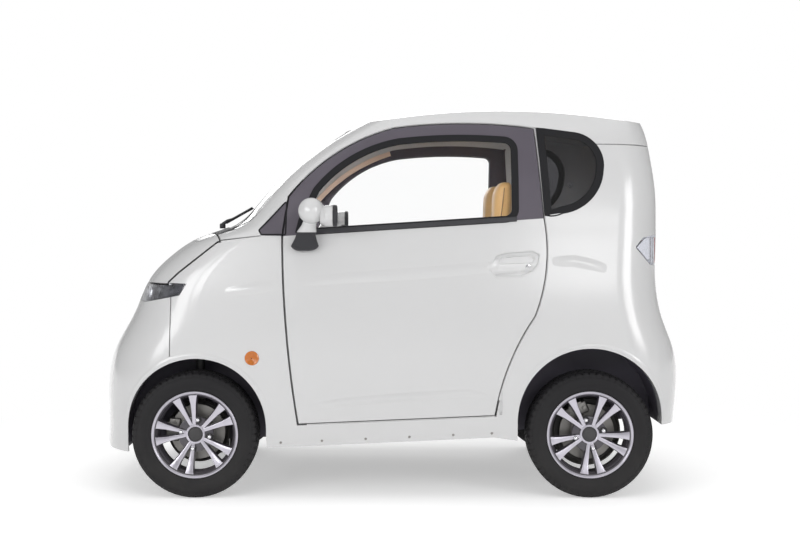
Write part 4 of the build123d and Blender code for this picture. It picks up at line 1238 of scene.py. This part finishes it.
class MICROCAR_OT_handles(bpy.types.Operator):
    """Door handles: bezel, pull flap and round lock"""
    bl_idname = "microcar.handles"
    bl_label = "Door handles"

    def execute(self, context):
        edge = rounded(HANDLE[::-1], 12, 4)
        on_both_sides("handle_bezel_{side}", lambda: band(widened(edge, 4), widened(edge, -3), proud=0.0018,
                                                          thick=0.010, round_off=0.0018),
                      "paint", "door_{side}")
        flap = rounded(((425, 912), (436, 938), (468, 946), (560, 952), (572, 940), (560, 918)), 9, 4)
        on_both_sides("handle_flap_{side}", lambda: patch(flap, proud=0.0040, thick=0.010, round_off=0.0035,
                                                          rings=5),
                      "paint", "door_{side}")
        lock = [(0.008, 0.0110), (0.0, 0.0110), (-0.0012, 0.0100), (-0.0014, 0.0070), (-0.0006, 0.0062),
                (-0.0006, 0.0006)]
        x, z = 0.543, 0.902

        def cylinder():
            return turned(lock, (x, depth("side", x, z) - 0.0015, z), (0, 1, 0), 40)
        on_both_sides("door_lock_{side}", cylinder, "chrome", "door_{side}", 30)
        return {"FINISHED"}


class MICROCAR_OT_wiper(bpy.types.Operator):
    """Wiper: spindle cap, sprung arm and blade with its rubber"""
    bl_idname = "microcar.wiper"
    bl_label = "Wiper"

    def execute(self, context):
        y = -0.149
        foot, elbow, tip = Vector((-0.706, y, 1.072)), Vector((-0.664, y, 1.094)), Vector((-0.579, y, 1.1435))
        bm = turned([(0.0, 0.0115), (-0.002, 0.0125), (-0.016, 0.0125), (-0.021, 0.0105), (-0.023, 0.0006)],
                    foot - Vector((0, 0, 0.018)), (0, 0, -1), 32)
        arm = [foot, foot.lerp(elbow, 0.5) + Vector((0, 0, 0.004)), elbow, elbow.lerp(tip, 0.5), tip]
        join(bm, tube(arm, [0.0075, 0.0062, 0.0050, 0.0038, 0.0034], 12))
        blade_low, blade_high = Vector((-0.690, y + 0.004, 1.0745)), Vector((-0.5745, y + 0.004, 1.1395))
        path = [blade_low.lerp(blade_high, k / 8) + Vector((0, 0, 0.0035 * math.sin(math.pi * k / 8)))
                for k in range(9)]
        join(bm, tube(path, [0.0022, 0.0034, 0.0042, 0.0048, 0.0050, 0.0048, 0.0042, 0.0034, 0.0022], 8))
        piece = placed("wiper_arm", bm, "black_plastic", "body", 40)
        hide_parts("wiper")
        return {"FINISHED"}


# ---------------------------------------------------------------- outside trim
# the row of sill screws, in mm: where it starts, its height there, and its rise over its run
SILL_FROM, SILL_LOW, SILL_RISE, SILL_RUN = -350, 224, 34, 760


class MICROCAR_OT_trim(bpy.types.Operator):
    """Creases, arch lips, glass borders, door lips, corner edges and sill screws"""
    bl_idname = "microcar.trim"
    bl_label = "Outside trim"

    def execute(self, context):
        shoulder = {
            "body_front": [(-640, 803), (-540, 818), (-424, 836)],
            "door": [(-396, 839), (-150, 862), (113, 878), (360, 899), (560, 917)],
            "body_rear": [(628, 923), (721, 927), (800, 910), (853, 892)]}
        for name, line in shoulder.items():
            path = polyline(line)
            body = "door_{side}" if name == "door" else "body"
            on_both_sides(f"shoulder_{name}_{{side}}", lambda: ridge(path, 58, 0.0056), "paint", body,
                          60)
        skirt = [(-330, 354), (-174, 381), (100, 402), (314, 415), (372, 400), (411, 369)]
        path = polyline(skirt)
        on_both_sides("door_skirt_{side}", lambda: ridge(path, 44, 0.0048), "paint", "door_{side}",
                      60)
        for name, (x, z), radius, start, end in (("front", (-750, 275), 273, -4, 184),
                                                 ("rear", (784, 303), 284, 2, 178)):
            turns = [math.radians(start + (end - start) * k / 60) for k in range(61)]
            lip = [(x + (radius + 13) * math.cos(t), z + (radius + 13) * math.sin(t)) for t in turns]
            on_both_sides(f"arch_lip_{name}_{{side}}", lambda: ridge(lip, 24, 0.0030), "paint", "body",
                          60)
        quarter = quarter_edge()
        on_both_sides("quarter_seal_{side}", lambda: band(widened(quarter, 4), widened(quarter, -26),
                                                          proud=0.0012, thick=0.010, round_off=0.002),
                      "rubber", "body")
        stud = [(0.006, 0.011), (-0.002, 0.011), (-0.004, 0.0095), (-0.0035, 0.006), (-0.0055, 0.0055),
                (-0.0065, 0.003), (-0.0066, 0.0004)]
        x, z = 0.713, 1.223
        place = (x, cast("side", x, z), z)
        on_both_sides("quarter_stud_{side}", lambda: turned(stud, place, (0, 1, 0), 36), "black_plastic",
                      "body", 30)
        corner = rounded(((-497, 1030), (-507, 1046), (-401, 1160), (-404, 1030)), 5, 3)
        on_both_sides("corner_edge_{side}", lambda: band(widened(corner, 4), widened(corner, -2),
                                                         proud=0.0016, thick=0.008, round_off=0.001),
                      "rubber", "body")
        # a painted lip in the door's gap, all round but for the hinge side
        lip = [p for p in widened(door_edge(), 16) if p[0] > -350]
        start = max(range(len(lip)), key=lambda k: math.dist(lip[k - 1], lip[k]))
        lip = lip[start:] + lip[:start]
        on_both_sides("door_lip_{side}", lambda: strip(lip, 23, proud=-0.006, thick=0.012, round_off=0.001),
                      "paint", "body")
        lower_corner = [(419, 328), (424, 358), (430, 384), (437, 420), (452, 420), (452, 328)]
        skin = depth("side", 0.460, 0.362)

        def corner_filler():
            bm = bmesh.new()
            verts, edges = flat_loop(bm, lower_corner, "side")
            bmesh.ops.contextual_create(bm, geom=edges)
            for v in verts:
                v.co.y = skin + 0.009
            return deepened(bm, (0, 0.008, 0))
        on_both_sides("door_corner_{side}", corner_filler, "paint", "body")
        jamb = widened(door_edge(), 14), widened(door_edge(), -24)
        on_both_sides("door_jamb_{side}", lambda: ring_plate(jamb, "side", -0.047, 0.010), "paint", "body")
        screw = [(0.003, 0.0052), (0.0, 0.0052), (-0.0014, 0.0040), (-0.0016, 0.0018), (-0.0008, 0.0014),
                 (-0.0008, 0.0004)]
        for name, x in (("a", -420), ("b", -260), ("c", -90), ("d", 80), ("e", 250), ("f", 400)):
            z = SILL_LOW + SILL_RISE * (x - SILL_FROM) / SILL_RUN
            place = (x * MM, depth("side", x * MM, z * MM), z * MM)
            on_both_sides(f"sill_screw_{name}_{{side}}", lambda: turned(screw, place, (0, 1, 0), 24),
                          "steel", "body", 30)
        for name, view, corners, radius, body in (
                ("windscreen", "front", ((540, 1000), (515, 1090), (420, 1450), (-420, 1450), (-515, 1090),
                                         (-540, 1000)), 55, "body"),
                ("tailgate", "rear", ((385, 1035), (385, 1180), (340, 1345), (-340, 1345), (-385, 1180),
                                      (-385, 1035)), 45, "tailgate")):
            edge = rounded(corners, radius, 6)
            bm = band(widened(edge, -2), widened(edge, -30), view, proud=0.0006, thick=0.002, round_off=0.0)
            placed(f"{name}_border", bm, "rubber", body)
        return {"FINISHED"}


# ---------------------------------------------------------------- tail
class MICROCAR_OT_ends(bpy.types.Operator):
    """Tailgate handle and rear reflectors"""
    bl_idname = "microcar.ends"
    bl_label = "Tail"

    def execute(self, context):
        handle = rounded(((-95, 640), (95, 640), (95, 668), (-95, 668)), 9, 4)
        placed("tailgate_handle", patch(handle, "rear", 0.004, 0.012, 0.003), "black_plastic",
               "tailgate")
        for side, sign in SIDES.items():
            corners = [(-sign * y, z) for y, z in ((395, 432), (325, 432), (325, 456), (395, 456))]
            spot = patch(rounded(corners, 6, 4), "rear", 0.003, 0.010, 0.002)
            placed(f"rear_reflector_{side}", spot, "red", "body")
        return {"FINISHED"}


# ---------------------------------------------------------------- cabin
SEAT_Y = 0.245
STEERING_AT, STEERING_TILT, STEERING_R = (-0.125, -0.270, 0.896), 68, 0.172


def seat_ring(z, front, rear, half, bolster=0.0, power=4.0, count=36):
    """One level ring of a seat back: a squarish oval whose sides reach ahead as bolsters."""
    middle, deep = (front + rear) / 2, (rear - front) / 2
    points = []
    for p in oval((middle, 0, z), (1, 0, 0), (0, 1, 0), deep, half, power, count):
        if p.x < middle:
            p.x -= bolster * max(0.0, abs(p.y) / half - 0.45) / 0.55
        points.append(p)
    return points


def seat_back_form():
    """A high seat back with side bolsters and the headrest in one."""
    rows = ((0.482, 0.352, 0.448, 0.190, 0.010), (0.500, 0.350, 0.452, 0.203, 0.018),
            (0.600, 0.357, 0.462, 0.208, 0.028), (0.760, 0.374, 0.478, 0.210, 0.030),
            (0.900, 0.397, 0.490, 0.205, 0.022), (0.965, 0.410, 0.497, 0.186, 0.010),
            (1.005, 0.425, 0.502, 0.142, 0.002), (1.040, 0.440, 0.505, 0.118, 0.0),
            (1.120, 0.446, 0.508, 0.108, 0.0), (1.205, 0.448, 0.510, 0.104, 0.0),
            (1.240, 0.453, 0.509, 0.096, 0.0), (1.256, 0.464, 0.503, 0.080, 0.0))
    return loft_rings([seat_ring(z, front, rear, half, bolster) for z, front, rear, half, bolster in rows])


def seat_cushion_form():
    """A seat cushion, crowned, with a rolled front edge."""
    front, rear, base, crown, half, steps = -0.024, 0.392, 0.392, 0.482, 0.204, 14
    rows = []
    for k in range(steps + 1):
        x = front + (rear - front) * k / steps
        top = crown + 0.018 * math.sin(math.pi * min(1.0, (k + 1.5) / 9)) - 0.022 * (k / steps)**2
        roll = max(0.0, 1 - k / 2.2)
        rows.append(oval((x, 0, (base + top) / 2), (0, 1, 0), (0, 0, 1), half - 0.012 * roll,
                         (top - base) / 2 - 0.010 * roll, 4.5, 40))
    return loft_rings(rows)


def swollen(name, form, pressure=4.0, cap=0.012, voxel=0.007, frames=20):
    mesh = bpy.data.meshes.new(name)
    form.to_mesh(mesh)
    form.free()
    piece = bpy.data.objects.new(name, mesh)
    scene = bpy.context.scene
    scene.collection.objects.link(piece)
    grid = piece.modifiers.new("grid", "REMESH")
    grid.mode = "VOXEL"
    grid.voxel_size = voxel
    cloth_start = baked(piece)
    piece.modifiers.remove(grid)
    piece.data = cloth_start
    at_rest = [v.co.copy() for v in piece.data.vertices]
    cloth = piece.modifiers.new("cloth", "CLOTH")
    cloth.settings.quality = 4
    cloth.settings.use_pressure = True
    cloth.settings.uniform_pressure_force = pressure
    cloth.settings.effector_weights.gravity = 0.0
    cloth.point_cache.frame_start, cloth.point_cache.frame_end = 1, frames
    for step in range(1, frames + 1):
        scene.frame_set(step)
    result = baked(piece)
    piece.modifiers.remove(cloth)
    for v, rest in zip(result.vertices, at_rest):
        move = v.co - rest
        if move.length > cap:
            v.co = rest + move.normalized() * cap
    scene.frame_set(1)
    piece.data = result
    bm = bmesh.new()
    bm.from_mesh(piece.data)
    bpy.data.objects.remove(piece)
    return bm


def baked(piece):
    """The mesh of an object with its modifiers applied."""
    graph = bpy.context.evaluated_depsgraph_get()
    graph.update()
    return bpy.data.meshes.new_from_object(piece.evaluated_get(graph))


def seam_on(tree, start, towards, points, sink=0.0006):
    """Places where rays from a line of points meet a padded form."""
    found = []
    for p in points:
        hit = tree.ray_cast(Vector(p) + Vector(start), Vector(towards))[0]
        if hit is not None:
            found.append(hit - Vector(towards) * sink)
    return found


class MICROCAR_OT_seats(bpy.types.Operator):
    """Two padded high-back seats with piping"""
    bl_idname = "microcar.seats"
    bl_label = "Seats"

    def execute(self, context):
        for name, form, node in (("seat_back", seat_back_form(), "seat_backs"),
                                 ("seat_pad", seat_cushion_form(), "seat_cushions")):
            padded = swollen(name, form)
            tree = BVHTree.FromBMesh(padded)
            if name == "seat_back":
                levels = [0.53 + 0.69 * k / 34 for k in range(35)]
                flank = [(0.374 + 0.118 * (z - 0.53) + 0.020, 0, z) for z in levels]
                neck = [(0.45, -0.10 + 0.2 * k / 16, 1.030) for k in range(17)]
                lines = [seam_on(tree, (0, -0.5 * s, 0), (0, s, 0), flank) for s in (1, -1)]
                lines.append(seam_on(tree, (-0.5, 0, 0), (1, 0, 0), neck))
            else:
                lines = [seam_on(tree, (0, 0, 0.3), (0, 0, -1),
                                 [(0.03 + 0.33 * k / 20, y, 0.45) for k in range(21)])
                         for y in (-0.125, 0.125)]
            piping = bmesh.new()
            for line in lines:
                if len(line) > 2:
                    join(piping, tube(line, 0.0022, 8))
            for side, sign in SIDES.items():
                for kind, source, colour in (("", padded, "leather"), ("_piping", piping, "piping")):
                    bm = source.copy()
                    shift(bm, (0, -SEAT_Y * sign, 0))
                    piece = placed(f"{name}{kind}_{side}", bm, colour, "body", 60)
                    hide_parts(node)
                    if source is padded:
                        soft = piece.modifiers.new("soft", "SUBSURF")
                        soft.levels = soft.render_levels = 1
            padded.free()
            piping.free()
        return {"FINISHED"}


class MICROCAR_OT_cabin(bpy.types.Operator):
    """Steering wheel, instrument pod, vents, door linings, armrests and pillar trims"""
    bl_idname = "microcar.cabin"
    bl_label = "Cabin"

    def execute(self, context):
        tilt = Matrix.Translation(STEERING_AT) @ Matrix.Rotation(math.radians(STEERING_TILT), 4, "Y")
        turns = [2 * math.pi * k / 72 for k in range(72)]
        ring = [(STEERING_R * math.cos(t), STEERING_R * math.sin(t), 0) for t in turns]
        bm = tube(ring, 0.0138, 16, closed=True)
        for turn in (60, 180, 300):
            spin = Matrix.Rotation(math.radians(turn), 4, "Z")
            spoke = loft_rings([oval((r, 0, z), (0, 1, 0), (0, 0, 1), w, h, 3, 16) for r, z, w, h in (
                (0.030, -0.010, 0.030, 0.009), (0.080, -0.009, 0.020, 0.007), (0.130, -0.004, 0.015, 0.006),
                (0.168, 0.0, 0.018, 0.007))])
            join(bm, spoke, spin)
        hub = spun([(0.029, 0.0006), (0.029, 0.036), (0.022, 0.044), (-0.006, 0.046), (-0.013, 0.040),
                    (-0.0155, 0.020), (-0.016, 0.0006)], 48)
        join(bm, hub, Matrix.Rotation(math.radians(90), 4, "X"))
        bmesh.ops.transform(bm, matrix=tilt, verts=bm.verts)
        wheel = placed("steering_wheel_rim", bm, "black_plastic", "steering_wheel", 45)
        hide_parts("steering_wheel")

        driver_y = STEERING_AT[1]
        pod = loft_rings([oval((x, driver_y, z), (0, 1, 0), (0, 0, 1), w, h, 3.5, 32) for x, z, w, h in (
            (-0.470, 0.985, 0.110, 0.030), (-0.420, 0.990, 0.135, 0.042), (-0.360, 0.988, 0.140, 0.048),
            (-0.335, 0.985, 0.138, 0.046), (-0.333, 0.985, 0.128, 0.038), (-0.345, 0.985, 0.124, 0.034))])
        placed("instrument_pod", pod, "black_plastic", "body", 40)
        screen = loft_rings([oval((x, driver_y, 0.985), (0, 1, 0), (0, 0, 1), w, h, 5, 32) for x, w, h in (
            (-0.350, 0.116, 0.028), (-0.344, 0.116, 0.028), (-0.343, 0.114, 0.026))])
        placed("instrument_screen", screen, "gloss_black", "body", 40)
        nozzle = [(0.004, 0.036), (-0.004, 0.036), (-0.006, 0.033), (-0.004, 0.029), (0.003, 0.028),
                  (0.003, 0.012), (-0.002, 0.010), (-0.004, 0.0006)]
        for letter, y in (("a", -0.475), ("b", -0.06), ("c", 0.06), ("d", 0.475)):
            vent = turned(nozzle, (-0.318, y, 0.868), (-1, 0, 0.11), 36)
            placed(f"air_vent_{letter}", vent, "black_plastic", "body", 30)
        lining = below(widened(door_edge(), -30), 1012)
        on_both_sides("door_lining_{side}", lambda: plate(lining, "side", -0.0455, 0.012, 6), "black_plastic",
                      "door_{side}", 30)
        on_both_sides("door_armrest_{side}", lambda: block((0.02, -0.560, 0.690), (0.36, -0.492, 0.742),
                                                           0.018, 4),
                      "beige_trim", "door_{side}", 40)
        pillar = [p for p in frame_edge() if p[0] < 10]
        lines = [widened(pillar, offset, closed=False) for offset in (46, 10)]
        on_both_sides("pillar_trim_{side}", lambda: ring_plate(lines, "side", -0.0475, 0.006, closed=False),
                      "beige_trim", "body", 40)
        return {"FINISHED"}


class MICROCAR_PT_panel(bpy.types.Panel):
    """Build steps of the microcar"""
    bl_label = "Microcar"
    bl_idname = "MICROCAR_PT_panel"
    bl_space_type = "VIEW_3D"
    bl_region_type = "UI"
    bl_category = "Microcar"

    def draw(self, context):
        for step in STEPS:
            self.layout.operator(step.bl_idname)
        for group in ("finish", "wheel", "trim", "stage"):
            box = self.layout.box()
            values = getattr(settings(), group)
            for key in values.__annotations__:
                box.prop(values, key)


STEPS = (MICROCAR_OT_stage, MICROCAR_OT_finishes, MICROCAR_OT_seals, MICROCAR_OT_tyres, MICROCAR_OT_rims,
         MICROCAR_OT_lamps, MICROCAR_OT_mirrors, MICROCAR_OT_handles, MICROCAR_OT_wiper, MICROCAR_OT_trim,
         MICROCAR_OT_ends, MICROCAR_OT_seats, MICROCAR_OT_cabin)
CLASSES = (FinishSettings, WheelSettings, TrimSettings, StageSettings, CarSettings, *STEPS, MICROCAR_PT_panel)


def register():
    for cls in CLASSES:
        bpy.utils.register_class(cls)
    bpy.types.Scene.microcar = bpy.props.PointerProperty(type=CarSettings)


def unregister():
    del bpy.types.Scene.microcar
    for cls in reversed(CLASSES):
        bpy.utils.unregister_class(cls)


def main():
    register()
    for step in STEPS:
        group, name = step.bl_idname.split(".")
        getattr(getattr(bpy.ops, group), name)()


if __name__ == "__main__":
    main()
